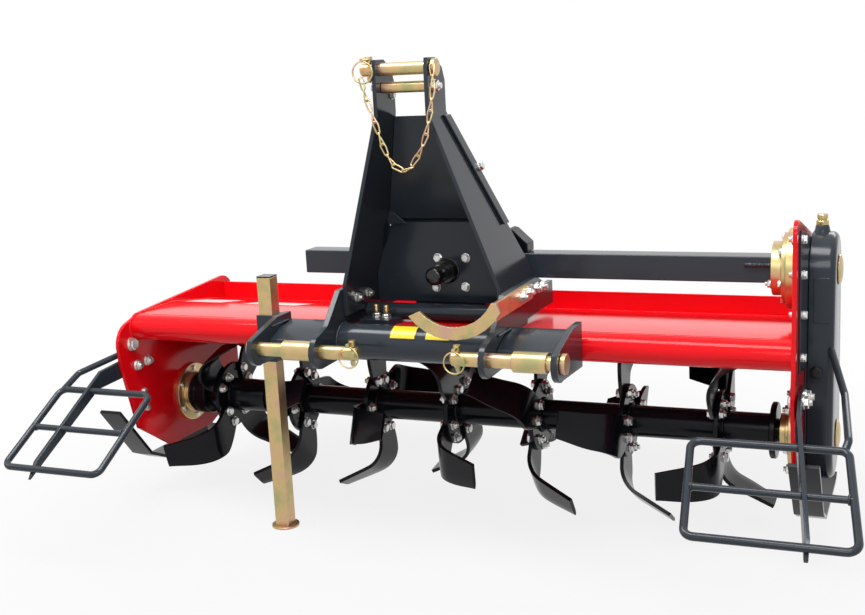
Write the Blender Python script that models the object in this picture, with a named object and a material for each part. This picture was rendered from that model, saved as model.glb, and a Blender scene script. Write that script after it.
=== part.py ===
"""Rotary tiller for a three point hitch, built piece by piece.

Metres, +Z up, +X to the right seen from the front, front (tractor side) at -Y.
All pieces hang under the empty "machine_frame", which sits on the rotor axis in the
middle between the two side plates. Sizes below are measured from that axis.
"""
import math

import bmesh
import bpy
from mathutils import Vector

for old in list(bpy.data.objects):
    bpy.data.objects.remove(old, do_unlink=True)

# Fits
GAP = 0.0003              # between pieces that are bolted, welded or pressed together
RUN = 0.0006              # around a pin, rod or leg that moves

# Hood: two side plates with the deck and the front tube between them
PLATE_SPAN = 1.454        # between the inner faces of the side plates
PLATE_T = 0.008
FRONT_TUBE_R = 0.029
FRONT_TUBE_WALL = 0.005
FRONT_TUBE_Y = -0.192
FRONT_TUBE_Z = 0.205
DECK_T = 0.005
DECK_Z = 0.234            # top face of the flat front part
DECK_CREASE_Y = -0.052
DECK_REAR_Y = 0.180       # front face of the rear upstand
DECK_REAR_Z = 0.198       # top face at the foot of the upstand
DECK_LIP_TOP = 0.240
PLATE_REAR_Y = 0.222
PLATE_FRONT_Y = -0.268
PLATE_BOTTOM_Z = -0.106
PLATE_TOP_FRONT_Z = 0.236
PLATE_TOP_REAR_Z = 0.256

# Rotor
ROTOR_R = 0.0335
ROTOR_WALL = 0.007
FLANGE_R = 0.078
FLANGE_T = 0.010
FLANGE_FROM_LEFT = 0.121  # middle of the first flange, from the left side plate
FLANGE_FROM_RIGHT = 0.1648
TINES_PER_FLANGE = 4
TINE_T = 0.008
TINE_BEND_START = 0.094   # distance out from the axis where the sideways bend begins
TINE_BEND_RADIUS = 0.060
TINE_BEND_DEG = 63.0
TINE_BEND_LEAN_DEG = 20.0  # the bend line leans, so the blade trails its shank
TINE_LENGTH = 0.2435      # along the flat blank
TINE_BEND_STEPS = 5
HUB_R = 0.058
HUB_T = 0.012
STUB_R = 0.024            # stub shafts in the two bearings
DRUM_R = 0.050            # seal drum at the left end
DRUM_T = 0.043
DRUM_INSET = 0.024        # from the side plate to the drum
RIGHT_HUB_INSET = 0.052
BORE_R = HUB_R + 0.004    # round opening in each side plate for the bearing housing
LEFT_HOUSING_R = 0.070
RIGHT_HOUSING_R = 0.072

# Chain case on the right, beam and gearbox
CASE_T = 0.034
CASE_TOP_R = 0.074
CASE_BOTTOM_R = 0.088
COVER_T = 0.014
COVER_INSET = 0.013
SHAFT_CAP_R = 0.030       # round caps on the cover over the two shafts
SHAFT_CAP_T = 0.008
TOWER_TOP_Z = 0.460       # right side plate, where it rises to hold the chain case
TOWER_FRONT_Y = -0.242
TOWER_REAR_Y = 0.095
TOWER_REAR_Z = 0.394
CASE_PLATE_T = 0.003      # flat plate that the chain case is welded to
UPPER_HOUSING_R = 0.066
UPPER_HOUSING_T = 0.018
UPPER_BOSS_R = 0.050
UPPER_BOSS_T = 0.022
BEAM_SIDE = 0.052
BEAM_WALL = 0.005
BEAM_Y = 0.0
BEAM_Z = 0.334
BEAM_LEFT_X = -0.369
GEARBOX_HALF = 0.080
GEARBOX_FRONT_Y = -0.090
GEARBOX_REAR_Y = 0.062
GEARBOX_TOP_Z = 0.418
GEARBOX_BOTTOM_Z = 0.252
PTO_R = 0.0175
PTO_OUT = 0.078
PTO_CAP_R = 0.0195
SEAL_R = 0.028

# Hitch
HITCH_X = 0.008           # the hitch sits a little right of the middle
LINK_PIN_Y = -0.360
LINK_PIN_Z = 0.212
LINK_PIN_R = 0.014
LINK_COLLAR_R = 0.020
EAR_T = 0.012
INNER_EAR_X = 0.172       # inner face of a link plate, from the hitch middle
EAR_GAP = 0.129           # clear width between the two ears of one side
NOSE_R = 0.035
LINK_PLATE_TOP = 0.318
LINK_PLATE_REAR_TOP = 0.290
LINK_PLATE_REAR_Y = 0.050
LINK_PLATE_UNDER = 0.241
HITCH_TUBE_R = 0.037
HITCH_TUBE_WALL = 0.006

# Mast
MAST_T = 0.008
MAST_TOP_Z = 0.776
MAST_KNEE_Z = 0.671
MAST_FOOT_Z = 0.326
MAST_LOW_Z = 0.262
MAST_TOP_HALF = 0.058     # outer face of an ear, from the hitch middle
EAR_FRONT_Y = -0.293
EAR_REAR_Y = -0.206
FOOT_FRONT_Y = -0.250
FOOT_REAR_Y = -0.041
TOP_PIN_Z = 0.757
TOP_PIN_Y = -0.268
TOP_PIN_R = 0.0125
SPACER_Z = 0.722
SPACER_Y = -0.262
SPACER_R = 0.011
STRAP_W = 0.030
STRAP_T = 0.006

# Parking stand
LEG_SIDE = 0.032
LEG_WALL = 0.003
LEG_LENGTH = 0.548
LEG_Y = -0.256
SLEEVE_WALL = 0.004
SLEEVE_TOP_Z = 0.262
SLEEVE_LENGTH = 0.100
FOOT_R = 0.030
FOOT_T = 0.005
CAP_T = 0.003

# Skids and guards
SKID_W = 0.055
SKID_T = 0.008
ROD_R = 0.0075
BAR_W = 0.040
BAR_T = 0.008
CHAIN_WIRE_R = 0.0022
LINCH_R = 0.005
RING_R = 0.021
RING_WIRE_R = 0.0016

# Driveline hook, from the hitch middle
HOOK_Y = -0.330
HOOK_T = 0.008
HOOK_CENTRE_X = 0.102
HOOK_CENTRE_Z = 0.357
HOOK_R = 0.090
HOOK_W = 0.025
HOOK_LEG_LOW = 0.282
HOOK_LEG_TOP = 0.317
HOOK_LEG_REAR_Y = -0.112

# Tailboard
BOARD_T = 0.004
BOARD_LENGTH = 0.210
BOARD_DROOP_DEG = 20.0
HINGE_ROD_R = 0.006
HINGE_TUBE_R = 0.011
HINGE_Y = 0.200
HINGE_Z = 0.184

# Angle of a left-bent tine of each flange, from straight down towards the front
FLANGE_PHASES = [54.8, 22.4, 3.5, -27.2, -56.4, -77.5, -112.3]

# Tine blank: columns are distance out, trailing edge and leading edge, along the bend line
TINE_BLANK = [
    (0.035, 0.002, -0.060),
    (0.065, -0.005, -0.090),
    (TINE_BEND_START, -0.016, -0.107),
    (TINE_BEND_START + TINE_BEND_RADIUS * math.radians(TINE_BEND_DEG), -0.0315, -0.108),
    (TINE_LENGTH, -0.041, -0.0975),
]

INNER_X = PLATE_SPAN / 2
OUTER_X = INNER_X + PLATE_T


def make_material(name, colour, roughness, metallic):
    """One painted, plated or rubber surface."""
    mat = bpy.data.materials.new(name)
    mat.use_nodes = True
    shader = mat.node_tree.nodes["Principled BSDF"]
    shader.inputs["Base Color"].default_value = (*colour, 1.0)
    shader.inputs["Roughness"].default_value = roughness
    shader.inputs["Metallic"].default_value = metallic
    mat.diffuse_color = (*colour, 1.0)
    return mat


RED = make_material("red_paint", (0.72, 0.01, 0.02), 0.25, 0.0)
GREY = make_material("slate_paint", (0.07, 0.085, 0.105), 0.3, 0.0)
BLACK = make_material("black_paint", (0.012, 0.014, 0.018), 0.3, 0.0)
ZINC = make_material("yellow_zinc", (0.62, 0.46, 0.24), 0.3, 1.0)
PLASTIC = make_material("black_plastic", (0.015, 0.015, 0.015), 0.5, 0.0)


def make_empty(name, location, parent=None):
    """A frame that carries pieces and gives a joint its place."""
    empty = bpy.data.objects.new(name, None)
    empty.location = location
    empty.parent = parent
    bpy.context.scene.collection.objects.link(empty)
    return empty


def lowest_corner(points):
    return min(p.z for p in points)


def add_object(name, bm, mat, parent, location=(0, 0, 0), smooth=False):
    """Turn a bmesh into a named piece placed under its parent."""
    bmesh.ops.recalc_face_normals(bm, faces=bm.faces)
    mesh = bpy.data.meshes.new(name)
    bm.to_mesh(mesh)
    bm.free()
    mesh.materials.append(mat)
    if smooth:
        mesh.shade_smooth()
        mesh.set_sharp_from_angle(angle=math.radians(35))
    obj = bpy.data.objects.new(name, mesh)
    obj.location = location
    obj.parent = parent
    bpy.context.scene.collection.objects.link(obj)
    return obj


def hide_guide(obj):
    """Keep a helper shape out of the finished model."""
    obj.hide_render = True
    obj.display_type = 'WIRE'


def cut(obj, cutter):
    mod = obj.modifiers.new("cut_" + cutter.name, 'BOOLEAN')
    mod.operation = 'DIFFERENCE'
    mod.object = cutter
    hide_guide(cutter)


def weld(obj, other):
    mod = obj.modifiers.new("weld_" + other.name, 'BOOLEAN')
    mod.operation = 'UNION'
    mod.object = other
    hide_guide(other)


def add_box(bm, low, high):
    corners = [bm.verts.new((x, y, z)) for x in (low[0], high[0])
               for y in (low[1], high[1]) for z in (low[2], high[2])]
    for quad in ((0, 1, 3, 2), (4, 6, 7, 5), (0, 4, 5, 1), (2, 3, 7, 6), (0, 2, 6, 4), (1, 5, 7, 3)):
        bm.faces.new([corners[i] for i in quad])


def skin_sections(bm, sections, closed=False):
    """Join equal rings of points into one closed body."""
    rings = [[bm.verts.new(p) for p in section] for section in sections]
    pairs = list(zip(rings, rings[1:]))
    if closed:
        pairs.append((rings[-1], rings[0]))
    for a, b in pairs:
        for i in range(len(a)):
            j = (i + 1) % len(a)
            bm.faces.new((a[i], a[j], b[j], b[i]))
    if not closed:
        bm.faces.new(list(reversed(rings[0])))
        bm.faces.new(rings[-1])


def add_side_sheet(bm, outline, x0, x1):
    """Outline of (y, z) points, cut from sheet between two x values."""
    skin_sections(bm, [[Vector((x, y, z)) for y, z in outline] for x in (x0, x1)])


def add_front_sheet(bm, outline, y0, y1):
    """Outline of (x, z) points, cut from sheet between two y values."""
    skin_sections(bm, [[Vector((x, y, z)) for x, z in outline] for y in (y0, y1)])


def arc_points(centre, radius, start_deg, end_deg, steps):
    """Points on an arc in a plane, angles from the first axis."""
    points = []
    for i in range(steps + 1):
        angle = math.radians(start_deg + (end_deg - start_deg) * i / steps)
        points.append((centre[0] + radius * math.cos(angle), centre[1] + radius * math.sin(angle)))
    return points


def turned_sections(axis, centre, profile, segments=24):
    """Rings of a profile of (distance along the axis, radius) turned around X, Y or Z."""
    side = {"X": (1, 2), "Y": (2, 0), "Z": (0, 1)}[axis]
    along = "XYZ".index(axis)
    sections = []
    for distance, radius in profile:
        ring = []
        for i in range(segments):
            angle = 2 * math.pi * (i + 0.5) / segments
            point = [0.0, 0.0, 0.0]
            point[along] = centre[along] + distance
            point[side[0]] = centre[side[0]] + radius * math.cos(angle)
            point[side[1]] = centre[side[1]] + radius * math.sin(angle)
            ring.append(Vector(point))
        sections.append(ring)
    return sections


def turned(name, axis, centre, profile, mat, parent, segments=24, ring=False):
    """A turned piece; ring=True joins the profile's end to its start round a bore."""
    bm = bmesh.new()
    skin_sections(bm, turned_sections(axis, centre, profile, segments), closed=ring)
    return add_object(name, bm, mat, parent, smooth=True)


def tube_profile(start, end, outer, wall):
    return [(start, outer), (end, outer), (end, outer - wall), (start, outer - wall)]


def round_corners(points, radius, steps=4, closed=False):
    """Replace the corners of a path by short arcs."""
    points = [Vector(p) for p in points]
    count = len(points)
    result = []
    for i in range(count):
        if not closed and i in (0, count - 1):
            result.append(points[i])
            continue
        corner = points[i]
        to_prev = (points[i - 1] - corner).normalized()
        to_next = (points[(i + 1) % count] - corner).normalized()
        half = to_prev.angle(to_next) / 2
        reach = radius / math.tan(half)
        centre = corner + (to_prev + to_next).normalized() * (radius / math.sin(half))
        a = corner + to_prev * reach - centre
        b = corner + to_next * reach - centre
        turn = a.angle(b)
        for k in range(steps + 1):
            t = k / steps
            arm = (a * math.sin((1 - t) * turn) + b * math.sin(t * turn)) / math.sin(turn)
            result.append(centre + arm)
    return result


def sweep_rod(bm, path, radius, segments=8, closed=False):
    """A round rod along a path, its rings turned with the path."""
    count = len(path)
    normal = None
    sections = []
    for i in range(count):
        if closed:
            before, after = path[i - 1], path[(i + 1) % count]
        else:
            before, after = path[max(i - 1, 0)], path[min(i + 1, count - 1)]
        tangent = (after - before).normalized()
        if normal is None:
            spare = Vector((0, 0, 1)) if abs(tangent.z) < 0.9 else Vector((1, 0, 0))
            normal = tangent.cross(spare).normalized()
        normal = (normal - tangent * normal.dot(tangent)).normalized()
        other = tangent.cross(normal)
        ring = []
        for k in range(segments):
            angle = 2 * math.pi * k / segments
            ring.append(path[i] + (normal * math.cos(angle) + other * math.sin(angle)) * radius)
        sections.append(ring)
    skin_sections(bm, sections, closed=closed)


# Rotor: where each tine's points lie, before the machine's height is known

def bend_tine(out, along, lift):
    """A point of the flat blank after the bend, as (sideways, trailing, radial)."""
    lean = math.radians(TINE_BEND_LEAN_DEG)
    turn = math.radians(TINE_BEND_DEG)
    past = out - TINE_BEND_START
    angle = min(max(past / TINE_BEND_RADIUS, 0.0), turn)
    flat = max(past - TINE_BEND_RADIUS * turn, 0.0)
    reach = min(past, 0.0) + TINE_BEND_RADIUS * math.sin(angle) + flat * math.cos(angle)
    sideways = TINE_BEND_RADIUS * (1 - math.cos(angle)) + flat * math.sin(angle)
    reach += TINE_BEND_START - lift * math.sin(angle)
    sideways += lift * math.cos(angle) - (FLANGE_T + TINE_T) / 2 + 0.001
    trailing = reach * math.sin(lean) + along * math.cos(lean)
    radial = reach * math.cos(lean) - along * math.sin(lean)
    return sideways, trailing, radial


def tine_sections():
    """Cross sections of one tine from its root to its tip."""
    rows = list(TINE_BLANK[:3])
    start, end = TINE_BLANK[2], TINE_BLANK[3]
    for i in range(1, TINE_BEND_STEPS + 1):
        share = i / TINE_BEND_STEPS
        rows.append(tuple(a + (b - a) * share for a, b in zip(start, end)))
    rows.append(TINE_BLANK[4])
    half = TINE_T / 2
    return [[bend_tine(out, trail, half), bend_tine(out, lead, half),
             bend_tine(out, lead, -half), bend_tine(out, trail, -half)] for out, trail, lead in rows]


def tine_ring(phase_deg, centre_x):
    """The tines of one flange about the rotor axis, bent left and right in turn."""
    tines = []
    for k in range(TINES_PER_FLANGE):
        side = -1 if k % 2 == 0 else 1
        angle = math.radians(phase_deg + 360.0 * k / TINES_PER_FLANGE)
        outward = Vector((0, -math.sin(angle), -math.cos(angle)))
        behind = Vector((0, -math.cos(angle), math.sin(angle)))
        tines.append([[Vector((centre_x + side * x, 0, 0)) + outward * r + behind * u
                       for x, u, r in section]
                      for section in tine_sections()])
    return tines


FLANGE_PITCH = (PLATE_SPAN - FLANGE_FROM_LEFT - FLANGE_FROM_RIGHT) / (len(FLANGE_PHASES) - 1)
flange_xs = [-INNER_X + FLANGE_FROM_LEFT + i * FLANGE_PITCH for i in range(len(FLANGE_PHASES))]
tine_rings = [tine_ring(phase, x) for phase, x in zip(FLANGE_PHASES, flange_xs)]
AXIS_HEIGHT = -min(lowest_corner(section) for ring in tine_rings for tine in ring for section in tine)

# Guard frames: columns are side name, side, then from the side plate's outer face the hoop's
# top (inner, outer), its bottom (inner, outer) and the lower end of the arm, and last the
# height of the top bar
ARM_TOP_X = OUTER_X + GAP + BAR_T / 2
GUARD_TABLE = [
    ("left", -1, (-0.150, 0.085), (-0.150, 0.088), 0.017, 0.097),
    ("right", 1, (-0.167, 0.101), (-0.143, 0.133), 0.053, 0.084),
]
GUARD_TOP_Y = -0.360
GUARD_LOW_Y = -0.560
GUARD_LOW_Z = -0.015
GUARD_ARM_REAR_Y = -0.150

machine = make_empty("machine_frame", (0, 0, AXIS_HEIGHT))
rotor = make_empty("rotor_axis", (0, 0, 0), machine)


def deck_top(y):
    """Height of the deck's upper face."""
    share = max(0.0, (y - DECK_CREASE_Y) / (DECK_REAR_Y - DECK_CREASE_Y))
    return DECK_Z + (DECK_REAR_Z - DECK_Z) * share


# Hood

def side_plate(name, side, with_tower):
    """A side plate; the right one rises behind the chain case."""
    corner = 0.045
    outline = [(-0.104, PLATE_BOTTOM_Z), (0.074, PLATE_BOTTOM_Z), (0.190, -0.060), (PLATE_REAR_Y, 0.000)]
    outline += arc_points((PLATE_REAR_Y - corner, PLATE_TOP_REAR_Z - corner), corner, 0, 90, 6)
    if with_tower:
        outline += [(TOWER_REAR_Y + 0.030, PLATE_TOP_REAR_Z + 0.010)]
        outline += arc_points((TOWER_REAR_Y - corner, TOWER_REAR_Z - corner), corner, 15, 75, 4)
        outline += arc_points((TOWER_FRONT_Y + 0.028, TOWER_TOP_Z - 0.028), 0.028, 75, 176, 6)
        outline += [(TOWER_FRONT_Y - 0.008, 0.200)]
    else:
        outline += [(-0.177, PLATE_TOP_FRONT_Z)]
        outline += arc_points((PLATE_FRONT_Y + 0.050, PLATE_TOP_FRONT_Z - 0.064), 0.050, 110, 180, 5)
    outline += [(PLATE_FRONT_Y + 0.004, 0.130), (-0.222, -0.029)]
    bm = bmesh.new()
    add_side_sheet(bm, outline, side * INNER_X, side * OUTER_X)
    plate = add_object(name, bm, RED, machine)
    bore = turned(name + "_bore", "X", (side * INNER_X, 0, 0),
                  [(-0.02, BORE_R), (0.03, BORE_R)], RED, machine, 32)
    cut(plate, bore)
    return plate


side_plate("side_plate_left", -1, False)
right_plate = side_plate("side_plate_right", 1, True)
shaft_hole = turned("case_shaft_hole", "X", (INNER_X, BEAM_Y, BEAM_Z), [(-0.02, 0.036), (0.03, 0.036)],
                    RED, machine)
cut(right_plate, shaft_hole)

deck_x = INNER_X - GAP
deck_seat, deck_under = arc_points((FRONT_TUBE_Y, FRONT_TUBE_Z), FRONT_TUBE_R + GAP, 82, 70, 1)
deck_outline = [deck_seat, (DECK_CREASE_Y, DECK_Z), (DECK_REAR_Y, DECK_REAR_Z),
                (DECK_REAR_Y, DECK_LIP_TOP),
                (DECK_REAR_Y + DECK_T, DECK_LIP_TOP), (DECK_REAR_Y + DECK_T, DECK_REAR_Z - DECK_T),
                (DECK_CREASE_Y, DECK_Z - DECK_T), deck_under]
bm = bmesh.new()
add_side_sheet(bm, deck_outline, -deck_x, deck_x)
hood = add_object("hood_deck", bm, RED, machine)
turned("front_tube", "X", (0, FRONT_TUBE_Y, FRONT_TUBE_Z),
       tube_profile(-deck_x, deck_x, FRONT_TUBE_R, FRONT_TUBE_WALL), RED, machine, 32, ring=True)

# Tailboard on its hinge rod behind the deck
board_angle = math.radians(BOARD_DROOP_DEG)
turned("tailboard_rod", "X", (0, HINGE_Y, HINGE_Z), [(-deck_x, HINGE_ROD_R), (deck_x, HINGE_ROD_R)],
       BLACK, machine, 12)
tailboard_axis = make_empty("tailboard_axis", (0, HINGE_Y, HINGE_Z), machine)
board_x = deck_x - 0.006
board = turned("tailboard", "X", (0, 0, 0),
               tube_profile(-board_x, board_x, HINGE_TUBE_R, HINGE_TUBE_R - HINGE_ROD_R - RUN), RED,
               tailboard_axis, 16, ring=True)
down = Vector((0, math.cos(board_angle), -math.sin(board_angle)))
across = Vector((0, math.sin(board_angle), math.cos(board_angle)))
bm = bmesh.new()
board_start = down * (HINGE_TUBE_R - 0.002)
board_end = down * BOARD_LENGTH
lip_end = board_end - across * 0.020
ring = [board_start, board_end, lip_end, lip_end - down * BOARD_T,
        board_end - down * BOARD_T - across * BOARD_T,
        board_start - across * BOARD_T]
skin_sections(bm, [[p + Vector((x, 0, 0)) for p in ring] for x in (-board_x + 0.002, board_x - 0.002)])
sheet = add_object("tailboard_sheet", bm, RED, tailboard_axis)
weld(board, sheet)

# Rotor
drum_x = -INNER_X + DRUM_INSET
hub_right_x = INNER_X - RIGHT_HUB_INSET
turned("rotor_tube", "X", (0, 0, 0),
       tube_profile(drum_x + DRUM_T + GAP, hub_right_x - HUB_T - GAP, ROTOR_R, ROTOR_WALL), BLACK, rotor,
       24, ring=True)
for index, (centre_x, ring) in enumerate(zip(flange_xs, tine_rings)):
    name = "tine_flange_%d" % (index + 1)
    half = FLANGE_T / 2
    flange = turned(name, "X", (centre_x, 0, 0),
                    [(-half, FLANGE_R), (half, FLANGE_R), (half, ROTOR_R + GAP),
                                                   (-half, ROTOR_R + GAP)], BLACK, rotor, 24, ring=True)
    bm = bmesh.new()
    for tine in ring:
        skin_sections(bm, tine)
    tines = add_object(name + "_tines", bm, BLACK, rotor)
    weld(flange, tines)
turned("rotor_hub_left", "X", (drum_x, 0, 0),
       [(-0.020, STUB_R), (0, STUB_R), (0, DRUM_R), (DRUM_T, DRUM_R)], BLACK, rotor)
turned("rotor_hub_right", "X", (hub_right_x, 0, 0),
       [(0.048, STUB_R), (0, STUB_R), (0, HUB_R), (-HUB_T, HUB_R)], BLACK, rotor)
# Bearing housings: distances are from the side plate's inner face, inwards
turned("bearing_left", "X", (-INNER_X, 0, 0),
       [(-0.016, HUB_R), (GAP, HUB_R), (GAP, LEFT_HOUSING_R), (0.009, LEFT_HOUSING_R), (0.009, 0.046),
        (0.018, 0.046),
        (0.018, STUB_R + RUN), (-0.016, STUB_R + RUN)], ZINC, machine, 32, ring=True)
turned("bearing_right", "X", (INNER_X, 0, 0),
       [(-d, r) for d, r in ((0.046, 0.036), (0.034, 0.036), (0.034, 0.045), (0.024, 0.045),
                             (0.024, RIGHT_HOUSING_R), (0.014, RIGHT_HOUSING_R), (0.014, HUB_R),
                             (-PLATE_T, HUB_R), (-PLATE_T, STUB_R + RUN), (0.046, STUB_R + RUN))],
       ZINC, machine, 32, ring=True)

# Chain case

def case_outline(top_r, bottom_r, steps=10):
    """Long rounded outline around the upper shaft and the rotor axis."""
    outline = arc_points((BEAM_Y, BEAM_Z), top_r, 0, 180, steps)
    outline += arc_points((0.0, 0.0), bottom_r, 180, 360, steps)
    return outline


plate_in = OUTER_X + GAP
bm = bmesh.new()
add_side_sheet(bm, [(-0.060, -0.085), (0.060, -0.085), (0.090, -0.040), (0.090, 0.340), (0.050, 0.384),
                    (-0.192, 0.438), (-0.205, 0.428), (-0.205, 0.175), (-0.100, 0.160), (-0.100, -0.040)],
               plate_in, plate_in + CASE_PLATE_T)
add_object("case_base_plate", bm, GREY, machine)
case_in = plate_in + CASE_PLATE_T + GAP
case_out = case_in + CASE_T
bm = bmesh.new()
add_side_sheet(bm, case_outline(CASE_TOP_R, CASE_BOTTOM_R), case_in, case_out)
add_object("chain_case", bm, GREY, machine)
bm = bmesh.new()
cover_in = case_out + GAP
skin_sections(bm, [[Vector((x, y, z)) for y, z in case_outline(CASE_TOP_R - inset, CASE_BOTTOM_R - inset)]
                   for x, inset in ((cover_in, 0.004), (cover_in + COVER_T * 0.5, 0.004),
                                    (cover_in + COVER_T, COVER_INSET))])
add_object("case_cover", bm, GREY, machine)
turned("filler_plug", "Z", ((case_in + case_out) / 2, BEAM_Y, BEAM_Z + CASE_TOP_R + 0.0006),
       [(0, 0.012), (0.010, 0.012), (0.016, 0.008), (0.016, 0.011), (0.030, 0.011), (0.034, 0.007)], ZINC,
       machine, 16)
for cap_name, cap_z in (("upper", BEAM_Z), ("lower", 0.0)):
    turned("case_cap_" + cap_name, "X", (cover_in + COVER_T + GAP, BEAM_Y, cap_z),
           [(0, SHAFT_CAP_R), (SHAFT_CAP_T * 0.4, SHAFT_CAP_R * 0.95), (SHAFT_CAP_T, SHAFT_CAP_R * 0.6)],
           ZINC, machine, 24)
upper_housing_end = UPPER_HOUSING_T + UPPER_BOSS_T
turned("upper_bearing_housing", "X", (INNER_X - GAP, BEAM_Y, BEAM_Z),
       [(0, UPPER_HOUSING_R), (-UPPER_HOUSING_T, UPPER_HOUSING_R), (-UPPER_HOUSING_T, UPPER_BOSS_R),
        (-upper_housing_end, UPPER_BOSS_R)], ZINC, machine, 32)

# Gearbox and the square beam that holds the cross shaft
hitch = make_empty("hitch_middle", (HITCH_X, 0, 0), machine)
bm = bmesh.new()
add_box(bm, (-GEARBOX_HALF, GEARBOX_FRONT_Y + GAP, GEARBOX_BOTTOM_Z),
        (GEARBOX_HALF, GEARBOX_REAR_Y, GEARBOX_TOP_Z))
gearbox = add_object("gearbox_case", bm, GREY, hitch)
bm = bmesh.new()
add_side_sheet(bm, [(DECK_CREASE_Y, DECK_Z + GAP), (0.050, deck_top(0.050) + GAP),
                    (0.050, GEARBOX_BOTTOM_Z + 0.010),
                    (DECK_CREASE_Y, GEARBOX_BOTTOM_Z + 0.010)], -0.060, 0.060)
gearbox_foot = add_object("gearbox_foot", bm, GREY, hitch)
weld(gearbox, gearbox_foot)


def square_tube(name, x0, x1, mat):
    bm = bmesh.new()
    outer = BEAM_SIDE / 2
    inner = outer - BEAM_WALL
    corners = ((-1, -1), (1, -1), (1, 1), (-1, 1))
    rings = [[Vector((x, BEAM_Y + a * h, BEAM_Z + b * h)) for a, b in corners]
             for x, h in ((x0, outer), (x1, outer), (x1, inner), (x0, inner))]
    skin_sections(bm, rings, closed=True)
    return add_object(name, bm, mat, machine)


square_tube("beam_left", BEAM_LEFT_X, HITCH_X - GEARBOX_HALF - GAP, GREY)
square_tube("beam_right", HITCH_X + GEARBOX_HALF + GAP, INNER_X - GAP - upper_housing_end - GAP, GREY)

pto_axis = make_empty("pto_axis", (0, GEARBOX_FRONT_Y, BEAM_Z), hitch)
plate_front_y = GEARBOX_FRONT_Y - MAST_T
turned("pto_seal_housing", "Y", (0, plate_front_y - GAP, BEAM_Z),
       [(0, SEAL_R), (-0.020, SEAL_R), (-0.020, PTO_R + RUN), (0, PTO_R + RUN)], PLASTIC, hitch, 24,
       ring=True)
turned("pto_shaft", "Y", (0, 0, 0),
       [(-0.001, PTO_R), (-0.052, PTO_R), (-0.052, PTO_CAP_R), (-PTO_OUT - 0.006, PTO_CAP_R),
        (-PTO_OUT - 0.012, PTO_CAP_R - 0.006)],
       PLASTIC, pto_axis, 24)

# Mast


def mast_half(z):
    """Outer half width of the mast at a height."""
    if z >= MAST_KNEE_Z:
        return MAST_TOP_HALF
    if z <= MAST_FOOT_Z:
        return INNER_EAR_X - GAP
    share = (MAST_KNEE_Z - z) / (MAST_KNEE_Z - MAST_FOOT_Z)
    return MAST_TOP_HALF + (INNER_EAR_X - GAP - MAST_TOP_HALF) * share


def mast_rear(z):
    """Rear edge of the mast side plates at a height."""
    share = min(max((MAST_KNEE_Z - z) / (MAST_KNEE_Z - MAST_FOOT_Z), 0.0), 1.0)
    return EAR_REAR_Y + (FOOT_REAR_Y - EAR_REAR_Y) * share


def mast_side(name, side):
    """A folded side plate: upright ear, flared middle, upright foot flange."""
    levels = [(MAST_TOP_Z, EAR_FRONT_Y + 0.004, EAR_REAR_Y - 0.045),
              (MAST_TOP_Z - 0.020, EAR_FRONT_Y, EAR_REAR_Y - 0.012),
              (MAST_KNEE_Z + 0.060, EAR_FRONT_Y, EAR_REAR_Y),
              (MAST_KNEE_Z, EAR_FRONT_Y, mast_rear(MAST_KNEE_Z)),
              (MAST_FOOT_Z, FOOT_FRONT_Y, mast_rear(MAST_FOOT_Z)),
              (MAST_LOW_Z, FOOT_FRONT_Y, mast_rear(MAST_FOOT_Z))]
    bm = bmesh.new()
    sections = []
    for z, front, rear in levels:
        outer = mast_half(z)
        inner = outer - MAST_T
        sections.append([Vector((side * outer, front, z)), Vector((side * outer, rear, z)),
                         Vector((side * inner, rear, z)), Vector((side * inner, front, z))])
    skin_sections(bm, sections)
    plate = add_object(name, bm, GREY, hitch)
    for key, radius, y, z in (("pin", TOP_PIN_R, TOP_PIN_Y, TOP_PIN_Z),
                              ("spacer", SPACER_R * 0.55, SPACER_Y, SPACER_Z)):
        hole = turned(name + "_" + key + "_hole", "X", (side * MAST_TOP_HALF, y, z),
                      [(-0.03, radius + GAP), (0.03, radius + GAP)], GREY, hitch, 24)
        cut(plate, hole)
    return plate


for side_name, side in (("left", -1), ("right", 1)):
    mast_side("mast_side_" + side_name, side)

BACK_TOP_Z = 0.664
BACK_LOW_Z = 0.445
bm = bmesh.new()
sections = []
for z in (BACK_TOP_Z, BACK_LOW_Z):
    half = mast_half(z) - MAST_T - GAP
    rear = mast_rear(z) - 0.002
    sections.append([Vector((-half, rear - 0.006, z)), Vector((half, rear - 0.006, z)),
                     Vector((half, rear, z)), Vector((-half, rear, z))])
skin_sections(bm, sections)
add_object("mast_back_plate", bm, GREY, hitch)

FRONT_PLATE_TOP = 0.437
FRONT_PLATE_LOW = 0.265
bm = bmesh.new()
low_half = mast_half(FRONT_PLATE_LOW) - MAST_T - GAP
foot_half = mast_half(MAST_FOOT_Z) - MAST_T - GAP
knee_half = mast_half(0.375) - MAST_T - GAP
add_front_sheet(bm, [(-low_half, FRONT_PLATE_LOW), (low_half, FRONT_PLATE_LOW), (foot_half, MAST_FOOT_Z),
                     (knee_half, 0.375),
                     (knee_half - 0.035, FRONT_PLATE_TOP), (0.035 - knee_half, FRONT_PLATE_TOP),
                     (-knee_half, 0.375),
                     (-foot_half, MAST_FOOT_Z)], plate_front_y, GEARBOX_FRONT_Y)
front_plate = add_object("gearbox_front_plate", bm, GREY, hitch)
cut(front_plate, turned("pto_plate_hole", "Y", (0, GEARBOX_FRONT_Y, BEAM_Z),
                        [(0.02, PTO_R + RUN), (-0.03, PTO_R + RUN)],
                        GREY, hitch, 24))

for side_name, side in (("left", -1), ("right", 1)):
    bm = bmesh.new()
    sections = []
    for z in (MAST_KNEE_Z - 0.006, MAST_FOOT_Z + 0.110):
        outer = mast_half(z) + GAP
        rear = mast_rear(z)
        sections.append([Vector((side * outer, rear - STRAP_W, z)), Vector((side * outer, rear, z)),
                         Vector((side * (outer + STRAP_T), rear, z)),
                         Vector((side * (outer + STRAP_T), rear - STRAP_W, z))])
    skin_sections(bm, sections)
    add_object("mast_strap_" + side_name, bm, GREY, hitch)

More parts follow.
